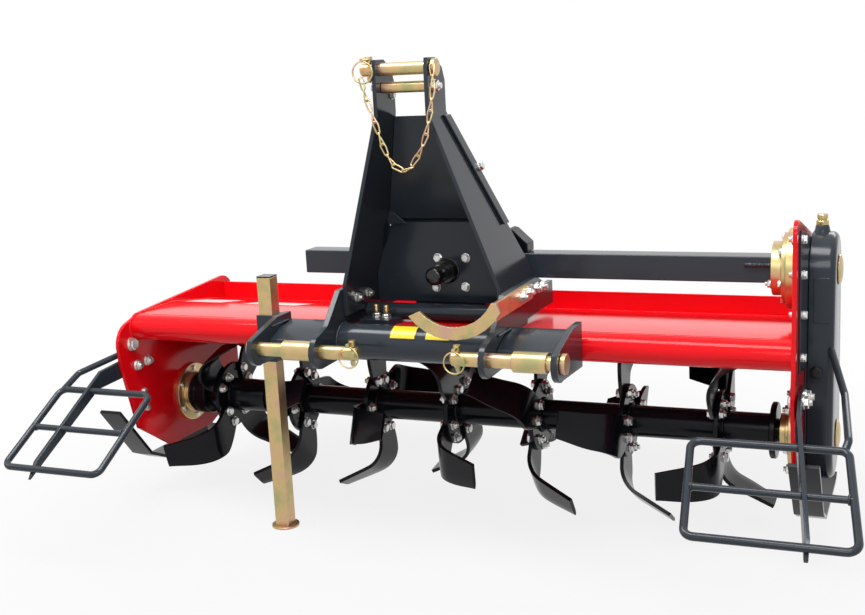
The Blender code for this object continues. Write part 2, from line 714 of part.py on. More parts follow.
top_half = MAST_TOP_HALF
top_pin = turned("top_pin", "X", (0, TOP_PIN_Y, TOP_PIN_Z),
       [(-top_half - 0.032, TOP_PIN_R * 0.8), (-top_half - 0.028, TOP_PIN_R), (top_half + GAP, TOP_PIN_R),
        (top_half + GAP, 0.017),
        (top_half + 0.010, 0.017)], ZINC, hitch, 16)
inner_half = top_half - MAST_T - GAP
turned("top_spacer", "X", (0, SPACER_Y, SPACER_Z),
       [(-top_half - 0.010, SPACER_R * 0.55), (-inner_half, SPACER_R * 0.55), (-inner_half, SPACER_R),
        (inner_half, SPACER_R),
        (inner_half, SPACER_R * 0.55), (top_half + 0.010, SPACER_R * 0.55)], ZINC, hitch, 16)


# Lower hitch

def ear_arc(start, end, steps=8):
    return arc_points((LINK_PIN_Y, LINK_PIN_Z), NOSE_R, start, end, steps)


tube_front = FRONT_TUBE_Y - FRONT_TUBE_R - GAP
link_outline = ear_arc(90, 270)
link_outline += [(tube_front - 0.004, LINK_PIN_Z - NOSE_R + 0.002), (tube_front, FRONT_TUBE_Z - 0.004)]
link_outline += arc_points((FRONT_TUBE_Y, FRONT_TUBE_Z), FRONT_TUBE_R + GAP, 176, 88, 6)
link_outline += [(-0.125, DECK_Z + GAP), (-0.125, LINK_PLATE_UNDER),
                 (LINK_PLATE_REAR_Y, LINK_PLATE_UNDER),
                 (LINK_PLATE_REAR_Y, LINK_PLATE_REAR_TOP), (0.010, LINK_PLATE_REAR_TOP),
                 (-0.060, LINK_PLATE_TOP),
                 (-0.262, LINK_PLATE_TOP), (-0.325, 0.258)]
outer_outline = ear_arc(140, 285)
outer_outline += [(tube_front, 0.172), (tube_front, 0.262), (-0.280, 0.262)]
web_outline = [(tube_front, 0.246), (-0.275, 0.240), (-0.318, 0.222), (-0.320, 0.215), (-0.276, 0.233),
               (tube_front, 0.239)]
for side_name, side in (("left", -1), ("right", 1)):
    inner = INNER_EAR_X
    ear_in = inner + EAR_T + EAR_GAP
    for name, outline, near in (("link_plate_", link_outline, inner),
                                ("outer_ear_", outer_outline, ear_in)):
        bm = bmesh.new()
        add_side_sheet(bm, outline, side * near, side * (near + EAR_T))
        plate = add_object(name + side_name, bm, GREY, hitch)
        cut(plate, turned(name + side_name + "_hole", "X", (side * near, LINK_PIN_Y, LINK_PIN_Z),
                          [(-0.03, LINK_PIN_R + GAP), (0.03, LINK_PIN_R + GAP)], GREY, hitch, 24))
    bm = bmesh.new()
    add_side_sheet(bm, web_outline, side * (inner + EAR_T + GAP), side * (ear_in - GAP))
    add_object("ear_web_" + side_name, bm, GREY, hitch)
turned("hitch_tube", "X", (0, tube_front - HITCH_TUBE_R, LINK_PIN_Z - 0.001),
       tube_profile(-INNER_EAR_X + GAP, INNER_EAR_X - GAP, HITCH_TUBE_R, HITCH_TUBE_WALL), GREY, hitch,
       32, ring=True)

# Lower link pins: columns are side name, side, then from the hitch middle the collar's start
# and end and the pin's inner end
lower_pins = []
PIN_TABLE = [
    ("left", -1, INNER_EAR_X + EAR_T + GAP, INNER_EAR_X + EAR_T + 0.072, 0.090),
    ("right", 1, INNER_EAR_X + EAR_T + 0.048, INNER_EAR_X + EAR_T + 0.115, 0.106),
]
for side_name, side, collar_a, collar_b, pin_end in PIN_TABLE:
    head = INNER_EAR_X + 2 * EAR_T + EAR_GAP + GAP
    lower_pins.append(turned(
        "lower_pin_" + side_name, "X", (0, LINK_PIN_Y, LINK_PIN_Z),
           [(side * d, r) for d, r in ((pin_end, LINK_PIN_R * 0.75), (pin_end + 0.005, LINK_PIN_R),
                                       (collar_a, LINK_PIN_R),
                                       (collar_a, LINK_COLLAR_R), (collar_b, LINK_COLLAR_R),
                                       (collar_b, LINK_PIN_R),
                                       (head, LINK_PIN_R), (head, LINK_COLLAR_R),
                                       (head + 0.010, LINK_COLLAR_R))],
           ZINC, hitch, 20))

# Parking stand
sleeve_in = LEG_SIDE / 2 + RUN
sleeve_out = sleeve_in + SLEEVE_WALL
leg_x = HITCH_X - (INNER_EAR_X + 2 * EAR_T + EAR_GAP) - GAP - sleeve_out
foot_bottom = -AXIS_HEIGHT
leg_axis = make_empty("leg_axis", (leg_x, LEG_Y, foot_bottom), machine)


def square_ring(half, x, y, z):
    return [Vector((x + a * half, y + b * half, z)) for a, b in ((-1, -1), (1, -1), (1, 1), (-1, 1))]


bm = bmesh.new()
skin_sections(bm, [square_ring(h, leg_x, LEG_Y, z) for h, z in (
    (sleeve_out, SLEEVE_TOP_Z - SLEEVE_LENGTH), (sleeve_out, SLEEVE_TOP_Z), (sleeve_in, SLEEVE_TOP_Z),
    (sleeve_in, SLEEVE_TOP_Z - SLEEVE_LENGTH))], closed=True)
add_object("stand_sleeve", bm, GREY, machine)
bm = bmesh.new()
half = LEG_SIDE / 2
leg_low = FOOT_T + GAP
skin_sections(bm, [square_ring(h, 0, 0, z) for h, z in (
    (half, leg_low), (half, leg_low + LEG_LENGTH), (half - LEG_WALL, leg_low + LEG_LENGTH),
    (half - LEG_WALL, leg_low))], closed=True)
add_object("stand_leg", bm, ZINC, leg_axis)
turned("stand_foot", "Z", (0, 0, 0), [(0, FOOT_R), (FOOT_T, FOOT_R)], ZINC, leg_axis, 24)
bm = bmesh.new()
cap_low = leg_low + LEG_LENGTH + GAP
add_box(bm, (-half, -half, cap_low), (half, half, cap_low + CAP_T))
add_object("stand_cap", bm, PLASTIC, leg_axis)

# Skids under the side plates
SKID_TOP = PLATE_BOTTOM_Z - GAP
skid_path = [(-0.283, 0.029), (-0.181, -0.098), (-0.125, SKID_TOP - 0.018), (0.080, SKID_TOP - 0.018),
             (0.110, SKID_TOP - 0.010)]


def strip_outline(path, thickness):
    """Outline of a bent strip of even thickness below a path of (y, z) points."""
    under = []
    for i, (y, z) in enumerate(path):
        before = Vector(path[max(i - 1, 0)])
        after = Vector(path[min(i + 1, len(path) - 1)])
        along = (after - before).normalized()
        under.append((y + along.y * thickness, z - along.x * thickness))
    return path + list(reversed(under))


for side_name, side in (("left", -1), ("right", 1)):
    tab_in = OUTER_X + GAP
    skid_outer = INNER_X + SKID_W
    if side > 0:
        tab_in = INNER_X - 0.007 - GAP
    bm = bmesh.new()
    add_side_sheet(bm, strip_outline(skid_path, SKID_T), side * INNER_X, side * skid_outer)
    skid = add_object("skid_" + side_name, bm, BLACK, machine)
    bm = bmesh.new()
    tab_out = tab_in + 0.007
    add_side_sheet(bm, [(-0.095, SKID_TOP - 0.022), (0.070, SKID_TOP - 0.022), (0.050, -0.070),
                        (-0.085, -0.070)],
                   side * tab_in, side * tab_out)
    tab = add_object("skid_tab_" + side_name, bm, BLACK, machine)
    if side > 0:
        bm = bmesh.new()
        add_side_sheet(bm, [(-0.095, SKID_TOP - 0.024), (0.070, SKID_TOP - 0.024),
                            (0.070, SKID_TOP - 0.019), (-0.095, SKID_TOP - 0.019)],
                       side * tab_in, side * (INNER_X + 0.004))
        shelf = add_object("skid_shelf_right", bm, BLACK, machine)
        weld(skid, shelf)
    weld(skid, tab)

# Guards
for side_name, side, top_out, low_out, arm_out, top_z in GUARD_TABLE:
    top_x = [OUTER_X + out for out in top_out]
    low_x = [OUTER_X + out for out in low_out]
    arm_low_x = OUTER_X + arm_out
    corners = [(side * top_x[0], GUARD_TOP_Y, top_z), (side * top_x[1], GUARD_TOP_Y, top_z),
               (side * low_x[1], GUARD_LOW_Y, GUARD_LOW_Z), (side * low_x[0], GUARD_LOW_Y, GUARD_LOW_Z)]
    bm = bmesh.new()
    sweep_rod(bm, round_corners(corners, 0.018, 3, closed=True), ROD_R, 8, closed=True)
    hoop = add_object("guard_" + side_name, bm, GREY, machine, smooth=True)
    middle_y = (GUARD_TOP_Y + GUARD_LOW_Y) / 2
    middle_z = (top_z + GUARD_LOW_Z) / 2
    rung_ends = [Vector((side * (top + low) / 2, middle_y, middle_z)) for top, low in zip(top_x, low_x)]
    bm = bmesh.new()
    sweep_rod(bm, rung_ends, ROD_R * 0.9, 8)
    weld(hoop, add_object("guard_rung_" + side_name, bm, GREY, machine, smooth=True))
    stay = [(side * (OUTER_X + GAP + ROD_R), -0.232, 0.152), (side * (OUTER_X + 0.055), -0.335, 0.128),
            (side * (top_x[1] - 0.006), GUARD_TOP_Y, top_z)]
    bm = bmesh.new()
    sweep_rod(bm, round_corners(stay, 0.015, 3), ROD_R * 0.95, 8)
    weld(hoop, add_object("guard_stay_" + side_name, bm, GREY, machine, smooth=True))
    # Arm: columns are y, height of its upper edge, x and lean
    arm_rows = [(GUARD_ARM_REAR_Y, 0.140, ARM_TOP_X, 0.0), (-0.215, 0.140, ARM_TOP_X, 0.0),
                (-0.330, 0.133, ARM_TOP_X + (arm_low_x - ARM_TOP_X) * 0.2, 0.35),
                (GUARD_LOW_Y + 0.002, GUARD_LOW_Z + 0.015, arm_low_x, 0.62)]
    sections = []
    for y, z, x, lean in arm_rows:
        up = Vector((0, math.sin(lean) * BAR_W / 2, math.cos(lean) * BAR_W / 2))
        centre = Vector((side * x, y, z - BAR_W / 2))
        wide = Vector((side * BAR_T / 2, 0, 0))
        sections.append([centre - wide - up, centre + wide - up, centre + wide + up, centre - wide + up])
    bm = bmesh.new()
    skin_sections(bm, sections)
    weld(hoop, add_object("guard_arm_" + side_name, bm, GREY, machine))

# Hook that carries the drive shaft when it is off the tractor: a leg on the link plate
# and an arc bent across in front of the gearbox
hook_low_x = INNER_EAR_X + EAR_T + GAP
hook_arc = arc_points((HOOK_CENTRE_X, HOOK_CENTRE_Z), HOOK_R + HOOK_W, 218, 329, 10)
hook_arc += [(hook_low_x + HOOK_T, HOOK_LEG_TOP),
             (HOOK_CENTRE_X + HOOK_R * math.cos(math.radians(26)), HOOK_LEG_TOP)]
hook_arc += arc_points((HOOK_CENTRE_X, HOOK_CENTRE_Z), HOOK_R, 333, 222, 10)
bm = bmesh.new()
add_front_sheet(bm, hook_arc, HOOK_Y - HOOK_T, HOOK_Y)
hook = add_object("driveline_hook", bm, ZINC, hitch)
bm = bmesh.new()
add_side_sheet(bm, [(HOOK_Y - HOOK_T, HOOK_LEG_LOW), (HOOK_LEG_REAR_Y, HOOK_LEG_LOW),
                    (HOOK_LEG_REAR_Y, HOOK_LEG_TOP - 0.010),
                     (HOOK_LEG_REAR_Y - 0.030, HOOK_LEG_TOP), (HOOK_Y - HOOK_T, HOOK_LEG_TOP)],
               hook_low_x, hook_low_x + HOOK_T)
weld(hook, add_object("hook_leg", bm, ZINC, hitch))


def linch_pin(name, x, y, z, held_r, ring_y, held):
    """A small pin across a hitch pin, with its spring ring in front."""
    head_low = held_r + 0.001
    pin = turned(name, "Z", (x, y, z),
                 [(-held_r - 0.012, LINCH_R * 0.6), (-held_r - 0.006, LINCH_R), (head_low, LINCH_R),
                                        (head_low, 0.0075), (head_low + 0.012, 0.0075)], ZINC, hitch, 12)
    weld(pin, turned(name + "_pivot", "Y", (x, y, z + head_low + 0.006),
                     [(0, 0.004), (ring_y - y - 0.002, 0.004)], ZINC, hitch, 10))
    bm = bmesh.new()
    loop = [Vector((x + RING_R * math.cos(a), ring_y, z - 0.004 + RING_R * math.sin(a)))
            for a in (2 * math.pi * i / 20 for i in range(20))]
    sweep_rod(bm, loop, RING_WIRE_R, 6, closed=True)
    weld(pin, add_object(name + "_ring", bm, ZINC, hitch, smooth=True))
    hole = turned(name + "_hole", "Z", (x, y, z),
                  [(-held_r - 0.01, LINCH_R + GAP), (held_r + 0.01, LINCH_R + GAP)], ZINC, hitch, 16)
    cut(held, hole)


# Linch pins: columns are name, x from the hitch middle, y, z, radius of the pin they lock,
# y of the ring, and that pin
lower_ring_y = LINK_PIN_Y - LINK_PIN_R - 0.005
for name, x, y, z, held_r, ring_y, held in (
        ("linch_pin_left", -PIN_TABLE[0][4] - 0.013, LINK_PIN_Y, LINK_PIN_Z, LINK_PIN_R, lower_ring_y,
         lower_pins[0]),
        ("linch_pin_right", PIN_TABLE[1][4] + 0.013, LINK_PIN_Y, LINK_PIN_Z, LINK_PIN_R, lower_ring_y,
         lower_pins[1]),
        ("linch_pin_top", -top_half - 0.016, TOP_PIN_Y, TOP_PIN_Z, TOP_PIN_R, EAR_FRONT_Y - 0.006,
         top_pin)):
    linch_pin(name, x, y, z, held_r, ring_y, held)

# Safety chain of the top pin, hanging in front of the mast from the pin's head to its linch pin
CHAIN_ROUTE = [(0.066, -0.2876, 0.752), (0.070, -0.298, 0.722), (0.064, -0.308, 0.665),
               (0.046, -0.310, 0.608),
               (0.010, -0.310, 0.566), (-0.024, -0.310, 0.592), (-0.046, -0.310, 0.650),
               (-0.060, -0.308, 0.690),
               (-0.072, -0.304, 0.720), (-0.074, -0.3031, 0.732)]


def smooth_route(points, per_span=5):
    """Points of a smooth curve through the route."""
    points = [Vector(p) for p in points]
    padded = [points[0] * 2 - points[1]] + points + [points[-1] * 2 - points[-2]]
    result = []
    for i in range(1, len(padded) - 2):
        a, b, c, d = padded[i - 1:i + 3]
        for k in range(per_span):
            t = k / per_span
            square = (2 * a - 5 * b + 4 * c - d) * t ** 2
            cube = (3 * b - a - 3 * c + d) * t ** 3
            result.append(0.5 * (2 * b + (c - a) * t + square + cube))
    result.append(points[-1])
    return result


bm = bmesh.new()
sweep_rod(bm, smooth_route(CHAIN_ROUTE), CHAIN_WIRE_R, 6)
add_object("pin_chain", bm, ZINC, hitch, smooth=True)


def centre_on_floor():
    """Put the origin at floor level under the middle of the whole machine's box."""
    graph = bpy.context.evaluated_depsgraph_get()
    xs = []
    ys = []
    for obj in bpy.data.objects:
        if obj.type != 'MESH' or obj.hide_render:
            continue
        shaped = obj.evaluated_get(graph)
        mesh = shaped.to_mesh()
        for vertex in mesh.vertices:
            place = shaped.matrix_world @ vertex.co
            xs.append(place.x)
            ys.append(place.y)
        shaped.to_mesh_clear()
    machine.location.x -= (min(xs) + max(xs)) / 2
    machine.location.y -= (min(ys) + max(ys)) / 2


centre_on_floor()
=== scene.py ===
"""Rotary tiller for a three point hitch, finished and lit as a new machine in a showroom.

Metres, +Z up, front (the tractor's side) at -Y. Places are measured from the point on the
rotor axis midway between the side plates, and at() moves them into the frame.
"""

import math

import bmesh
import bpy
from mathutils import Matrix, Vector


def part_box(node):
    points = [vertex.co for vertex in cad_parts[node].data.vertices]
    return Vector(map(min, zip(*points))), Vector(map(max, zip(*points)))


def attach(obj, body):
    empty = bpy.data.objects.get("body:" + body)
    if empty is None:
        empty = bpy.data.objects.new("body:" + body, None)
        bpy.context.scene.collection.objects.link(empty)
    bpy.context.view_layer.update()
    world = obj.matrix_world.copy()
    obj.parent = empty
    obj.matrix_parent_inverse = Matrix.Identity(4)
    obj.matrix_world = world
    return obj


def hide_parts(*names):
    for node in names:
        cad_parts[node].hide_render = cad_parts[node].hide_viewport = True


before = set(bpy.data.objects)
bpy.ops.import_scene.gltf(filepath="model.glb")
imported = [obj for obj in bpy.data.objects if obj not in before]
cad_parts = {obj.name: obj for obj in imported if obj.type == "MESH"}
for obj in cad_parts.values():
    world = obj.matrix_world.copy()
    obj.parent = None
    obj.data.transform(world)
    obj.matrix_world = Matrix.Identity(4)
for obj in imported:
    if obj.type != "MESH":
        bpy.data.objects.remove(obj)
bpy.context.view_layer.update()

# Camera: stands in front of the machine and a step to its right, a little above the mast's
# foot. The long lens keeps the guards from growing towards it.
PLATE_INNER = 0.727
CAMERA_PLACE = (0.973, -2.457, 0.776)
FOCAL_LENGTH = 50.98
rotor_low, rotor_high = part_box("rotor_tube")
rotor_middle = (rotor_low + rotor_high) / 2
ORIGIN = Vector((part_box("side_plate_left")[1].x + PLATE_INNER, rotor_middle.y, rotor_middle.z))


def at(x, y, z):
    """A point measured from the rotor axis, in the frame."""
    return ORIGIN + Vector((x, y, z))


camera_data = bpy.data.cameras.new("photographer")
camera_data.lens = FOCAL_LENGTH
camera_data.sensor_width = 36.0
camera = bpy.data.objects.new("photographer", camera_data)
camera_right = Vector((0.9230, 0.3815, -0.0499))
camera_up = Vector((-0.0314, 0.2039, 0.9784))
camera_back = camera_right.cross(camera_up)
turn = Matrix((camera_right, camera_up, camera_back)).transposed().to_4x4()
camera.matrix_world = Matrix.Translation(at(*CAMERA_PLACE)) @ turn
bpy.context.scene.collection.objects.link(camera)
bpy.context.scene.camera = camera
bpy.context.scene.view_settings.view_transform = "Standard"

# Studio: a pale floor that keeps the machine's shadow and runs out to white, four large soft
# lamps, and an even fill from all round.
FLOOR_HALF = 30.0
FLOOR_COLOUR = (0.50, 0.50, 0.51, 1.0)
FILL_STRENGTH = 0.26
WHITE = (1.0, 1.0, 1.0, 1.0)


def wire(tree, kind, sockets=None, **settings):
    """Adds a node; sockets gives each input a value or the output that feeds it."""
    made = tree.nodes.new(kind)
    for key, value in settings.items():
        setattr(made, key, value)
    for key, value in (sockets or {}).items():
        if isinstance(value, bpy.types.NodeSocket):
            tree.links.new(value, made.inputs[key])
        else:
            made.inputs[key].default_value = value
    return made


def feed(tree, kind, sockets=None, **settings):
    """Adds a node as wire does, and gives its first output."""
    return wire(tree, kind, sockets, **settings).outputs[0]


def seen_directly(tree):
    """1 for rays that come from the camera, a mirror or through glass, else 0."""
    path = wire(tree, "ShaderNodeLightPath").outputs
    gloss = feed(tree, "ShaderNodeMath", {0: path["Is Camera Ray"], 1: path["Is Glossy Ray"]},
                 operation="ADD")
    return feed(tree, "ShaderNodeMath", {0: gloss, 1: path["Is Transmission Ray"]},
                operation="ADD", use_clamp=True)


world = bpy.data.worlds.new("studio")
world.use_nodes = True
world.node_tree.nodes.clear()
fill = feed(world.node_tree, "ShaderNodeBackground", {"Color": WHITE, "Strength": FILL_STRENGTH})
white = feed(world.node_tree, "ShaderNodeBackground", {"Color": WHITE, "Strength": 1.0})
sky = feed(world.node_tree, "ShaderNodeMixShader", {0: seen_directly(world.node_tree), 1: fill, 2: white})
wire(world.node_tree, "ShaderNodeOutputWorld", {"Surface": sky})
bpy.context.scene.world = world

floor_corners = [(x * FLOOR_HALF, y * FLOOR_HALF, 0.0) for x, y in ((-1, -1), (1, -1), (1, 1), (-1, 1))]
floor_mesh = bpy.data.meshes.new("studio_floor")
floor_mesh.from_pydata(floor_corners, [], [(0, 1, 2, 3)])
floor = bpy.data.objects.new("studio_floor", floor_mesh)
bpy.context.scene.collection.objects.link(floor)
floor_finish = bpy.data.materials.new("studio_floor")
floor_finish.use_nodes = True
floor_tree = floor_finish.node_tree
floor_tree.nodes.clear()
floor_paper = feed(floor_tree, "ShaderNodeBsdfDiffuse", {"Color": FLOOR_COLOUR})
floor_glow = feed(floor_tree, "ShaderNodeEmission", {"Color": WHITE, "Strength": 1.0})
# The glow takes over with distance, so the floor runs out to white without a horizon
floor_reach = wire(floor_tree, "ShaderNodeVectorMath",
                   {0: wire(floor_tree, "ShaderNodeTexCoord").outputs["Object"]}, operation="LENGTH")
floor_fade = feed(floor_tree, "ShaderNodeMapRange",
                  {"Value": floor_reach.outputs["Value"], "From Min": 0.50, "From Max": 1.7,
                   "To Min": 0.84, "To Max": 1.0}, interpolation_type="SMOOTHSTEP")
floor_share = feed(floor_tree, "ShaderNodeMath", {0: seen_directly(floor_tree), 1: floor_fade},
                   operation="MULTIPLY")
floor_mix = feed(floor_tree, "ShaderNodeMixShader", {0: floor_share, 1: floor_paper, 2: floor_glow})
wire(floor_tree, "ShaderNodeOutputMaterial", {"Surface": floor_mix})
floor_mesh.materials.append(floor_finish)

# Columns: name, place, what it points at, width and depth of the lamp, power
for lamp_name, place, target, lamp_width, lamp_depth, power in (
        ("lamp_overhead", (-0.3, -0.9, 2.9), (0.0, 0.0, 0.2), 3.4, 1.0, 118.0),
        ("lamp_front", (1.2, -3.4, 1.9), (0.0, 0.0, 0.25), 2.0, 1.2, 38.0),
        ("lamp_left", (-3.0, -1.2, 1.8), (0.0, 0.0, 0.2), 1.4, 1.4, 12.0),
        ("lamp_behind", (1.4, 3.0, 2.4), (0.0, 0.0, 0.4), 1.8, 1.2, 30.0)):
    lamp_data = bpy.data.lights.new(lamp_name, "AREA")
    lamp_data.shape = "RECTANGLE"
    lamp_data.size = lamp_width
    lamp_data.size_y = lamp_depth
    lamp_data.energy = power
    lamp = bpy.data.objects.new(lamp_name, lamp_data)
    aim = (at(*target) - at(*place)).to_track_quat("-Z", "Y").to_matrix().to_4x4()
    lamp.matrix_world = Matrix.Translation(at(*place)) @ aim
    bpy.context.scene.collection.objects.link(lamp)

# Side plates: 8 mm steel cut to shape, sprayed and baked in gloss red. Their cut edges have a
# broken corner, and the enamel shows a fine orange peel.


def new_group(name, kind, inputs, outputs):
    """An empty node group, its inputs and its outputs. An input is given by its usual value, or
    by the kind of its socket, as every output is."""
    tree = bpy.data.node_groups.new(name, kind)
    for socket_name, value in inputs.items():
        if isinstance(value, str):
            tree.interface.new_socket(socket_name, in_out="INPUT", socket_type="NodeSocket" + value)
        else:
            number = "NodeSocketInt" if isinstance(value, int) else "NodeSocketFloat"
            made = tree.interface.new_socket(socket_name, in_out="INPUT", socket_type=number)
            made.default_value = value
    for socket_name, socket in outputs.items():
        tree.interface.new_socket(socket_name, in_out="OUTPUT", socket_type="NodeSocket" + socket)
    given = tree.nodes.new("NodeGroupInput")
    result = tree.nodes.new("NodeGroupOutput")
    return tree, given.outputs, result.inputs


def calculator(tree):
    """A shorthand for the sums of one node tree."""
    def calc(operation, a, b=0.0):
        return feed(tree, "ShaderNodeMath", {0: a, 1: b}, operation=operation)
    return calc


def remapped(tree, source, start, end, low=0.0, high=1.0):
    """Goes from low to high while the source goes from start to end."""
    return feed(tree, "ShaderNodeMapRange", {"Value": source, "From Min": start, "From Max": end,
                                             "To Min": low, "To Max": high})


def object_noise(tree, scale, detail, roughness=0.5):
    """Noise in a piece's own coordinates."""
    place = wire(tree, "ShaderNodeTexCoord").outputs["Object"]
    return feed(tree, "ShaderNodeTexNoise", {"Vector": place, "Scale": scale, "Detail": detail,
                                             "Roughness": roughness})


def build_enamel_skin():
    """Orange peel of sprayed enamel, and the slow change of tone under it."""
    tree, given, result = new_group(
        "enamel_skin", "ShaderNodeTree", {"Peel scale": 420.0, "Tone scale": 7.0},
        {"Peel": "Float", "Tone": "Float"})
    tree.links.new(object_noise(tree, given["Peel scale"], 2.0), result["Peel"])
    tree.links.new(object_noise(tree, given["Tone scale"], 4.0), result["Tone"])
    return tree


def build_edge_wear_and_highlight():
    """Finds edges by how far a rounded normal leans off the true one, and breaks them up. The mask pales the
    edges, partly as worn paint and partly as a painted highlight.
    """
    tree, given, result = new_group(
        "edge_wear_and_highlight", "ShaderNodeTree", {"Width": 0.0015, "Amount": 0.5},
        {"Mask": "Float", "Normal": "Vector"})
    calc = calculator(tree)
    rounded = feed(tree, "ShaderNodeBevel", {"Radius": given["Width"]}, samples=4)
    true_normal = wire(tree, "ShaderNodeNewGeometry").outputs["True Normal"]
    lean = wire(tree, "ShaderNodeVectorMath", {0: rounded, 1: true_normal}, operation="DOT_PRODUCT")
    edge = remapped(tree, lean.outputs["Value"], 0.985, 0.86)
    broken = remapped(tree, object_noise(tree, 95.0, 4.0), 0.38, 0.68)
    tree.links.new(calc("MULTIPLY", calc("MULTIPLY", edge, broken), given["Amount"]), result["Mask"])
    tree.links.new(rounded, result["Normal"])
    return tree


def build_settled_dust():
    """A thin film of dust where a face looks up."""
    tree, given, result = new_group("settled_dust", "ShaderNodeTree", {"Amount": 0.1}, {"Mask": "Float"})
    calc = calculator(tree)
    facing = wire(tree, "ShaderNodeSeparateXYZ", {0: wire(tree, "ShaderNodeNewGeometry").outputs["Normal"]})
    upward = remapped(tree, facing.outputs["Z"], 0.35, 1.0)
    patchy = remapped(tree, object_noise(tree, 22.0, 6.0, 0.7), 0.35, 0.75)
    tree.links.new(calc("MULTIPLY", calc("MULTIPLY", upward, patchy), given["Amount"]), result["Mask"])
    return tree


ENAMEL_SKIN = build_enamel_skin()
EDGE_WEAR_AND_HIGHLIGHT = build_edge_wear_and_highlight()
SETTLED_DUST = build_settled_dust()
DUST_COLOUR = (0.42, 0.38, 0.32, 1.0)


def blended(tree, factor, first, second):
    """A colour between two, each a value or the output that feeds it."""
    return wire(tree, "ShaderNodeMix", {0: factor, 6: first, 7: second}, data_type="RGBA").outputs[2]


def new_finish(name):
    """A material, its node tree and the inputs of its surface shader."""
    finish = bpy.data.materials.new(name)
    finish.use_nodes = True
    return finish, finish.node_tree, finish.node_tree.nodes["Principled BSDF"].inputs


def grained(tree, surface, skin, strength, depth, normal=None):
    """Raises a surface by the fine grain of its skin."""
    bump = wire(tree, "ShaderNodeBump", {"Strength": strength, "Distance": depth,
                                         "Height": skin.outputs["Peel"]})
    if normal:
        tree.links.new(normal, bump.inputs["Normal"])
    tree.links.new(bump.outputs[0], surface["Normal"])


def gloss_enamel(name, slot_name, colour, deep, worn_and_lit_edge, roughness, wear_and_highlight, dust, specular):
    """Sprayed and baked enamel with orange peel, paler edges that are partly worn paint and partly a painted
    highlight, and a little dust.
    """
    finish, tree, surface = new_finish(name)
    skin = wire(tree, "ShaderNodeGroup", {"Peel scale": 420.0}, node_tree=ENAMEL_SKIN)
    edge = wire(tree, "ShaderNodeGroup", {"Width": 0.0016, "Amount": wear_and_highlight}, node_tree=EDGE_WEAR_AND_HIGHLIGHT).outputs
    film = wire(tree, "ShaderNodeGroup", {"Amount": dust}, node_tree=SETTLED_DUST).outputs["Mask"]
    toned = blended(tree, skin.outputs["Tone"], (*deep, 1.0), (*colour, 1.0))
    # Paler edges: partly worn paint, partly a painted highlight along the edges
    edged = blended(tree, edge["Mask"], toned, (*worn_and_lit_edge, 1.0))
    tree.links.new(blended(tree, film, edged, DUST_COLOUR), surface["Base Color"])
    sheen = remapped(tree, skin.outputs["Tone"], 0.0, 1.0, roughness * 0.75, roughness * 1.3)
    tree.links.new(calculator(tree)("ADD", sheen, film), surface["Roughness"])
    grained(tree, surface, skin, 0.10, 0.0004, edge["Normal"])
    surface["Specular IOR Level"].default_value = specular
    return finish, slot_name


# Each coat is a material and the finish slot that it belongs to
# The fourth colour of a coat is its paler edge, partly worn paint and partly painted highlight
RED_ENAMEL = gloss_enamel("red_enamel", "red_paint", (0.82, 0.004, 0.010), (0.74, 0.003, 0.008),
                          (0.90, 0.14, 0.13), 0.12, wear_and_highlight=0.12, dust=0.02, specular=0.19)


def hand_over(piece, coat, *nodes, body="frame"):
    """Puts a finished piece on its body in its coat's material, in place of its CAD nodes."""
    finish, slot_name = coat
    if not piece.data.materials:
        piece.data.materials.append(finish)
    if piece.name not in bpy.context.scene.collection.objects:
        bpy.context.scene.collection.objects.link(piece)
    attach(piece, body)
    if nodes:
        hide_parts(*nodes)


def soften(piece, edge, cutter=None):
    """Cuts a piece with a tool shape, breaks its sharp edges and shades it."""
    bpy.context.scene.collection.objects.link(piece)
    if cutter:
        notch = piece.modifiers.new("notch", "BOOLEAN")
        notch.object = cutter
        notch.solver = "EXACT"
    piece.data.shade_smooth()
    bevel = piece.modifiers.new("broken_edges", "BEVEL")
    bevel.width = edge
    bevel.segments = 2
    bevel.limit_method = "ANGLE"
    bevel.angle_limit = math.radians(30.0)
    even = piece.modifiers.new("even_normals", "WEIGHTED_NORMAL")
    even.weight = 50
    even.keep_sharp = True
    graph = bpy.context.evaluated_depsgraph_get()
    shaped = bpy.data.meshes.new_from_object(piece.evaluated_get(graph))
    piece.modifiers.clear()
    piece.data = shaped
    shaped.name = piece.name
    if cutter:
        bpy.data.objects.remove(cutter)


def rounded_copy(node_name, name, coat, edge=0.001, body="frame", cutter=None):
    """A CAD solid's own shape as one welded skin with broken edges."""
    bm = bmesh.new()
    bm.from_mesh(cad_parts[node_name].data)
    bmesh.ops.remove_doubles(bm, verts=bm.verts, dist=0.00004)
    bmesh.ops.dissolve_limit(bm, angle_limit=math.radians(0.6), verts=bm.verts, edges=bm.edges)
    bm.verts.index_update()
    points = [v.co.copy() for v in bm.verts]
    faces = [[v.index for v in f.verts] for f in bm.faces]
    bm.free()
    mesh = bpy.data.meshes.new(name)
    mesh.from_pydata(points, [], faces)
    piece = bpy.data.objects.new(name, mesh)
    soften(piece, edge, cutter)
    hand_over(piece, coat, node_name, body=body)


for side_name in ("left", "right"):
    rounded_copy("side_plate_" + side_name, "side_sheet_" + side_name, RED_ENAMEL)

# Deck: one 5 mm sheet with a crease along it and a turned up rear edge, welded to a round
# front tube that ties the side plates together. All gloss red.
rounded_copy("hood_deck", "deck_sheet", RED_ENAMEL)


def crisp(mesh, degrees=35.0):
    """Shades a mesh smooth but for its sharp edges."""
    mesh.shade_smooth()
    mesh.set_sharp_from_angle(angle=math.radians(degrees))


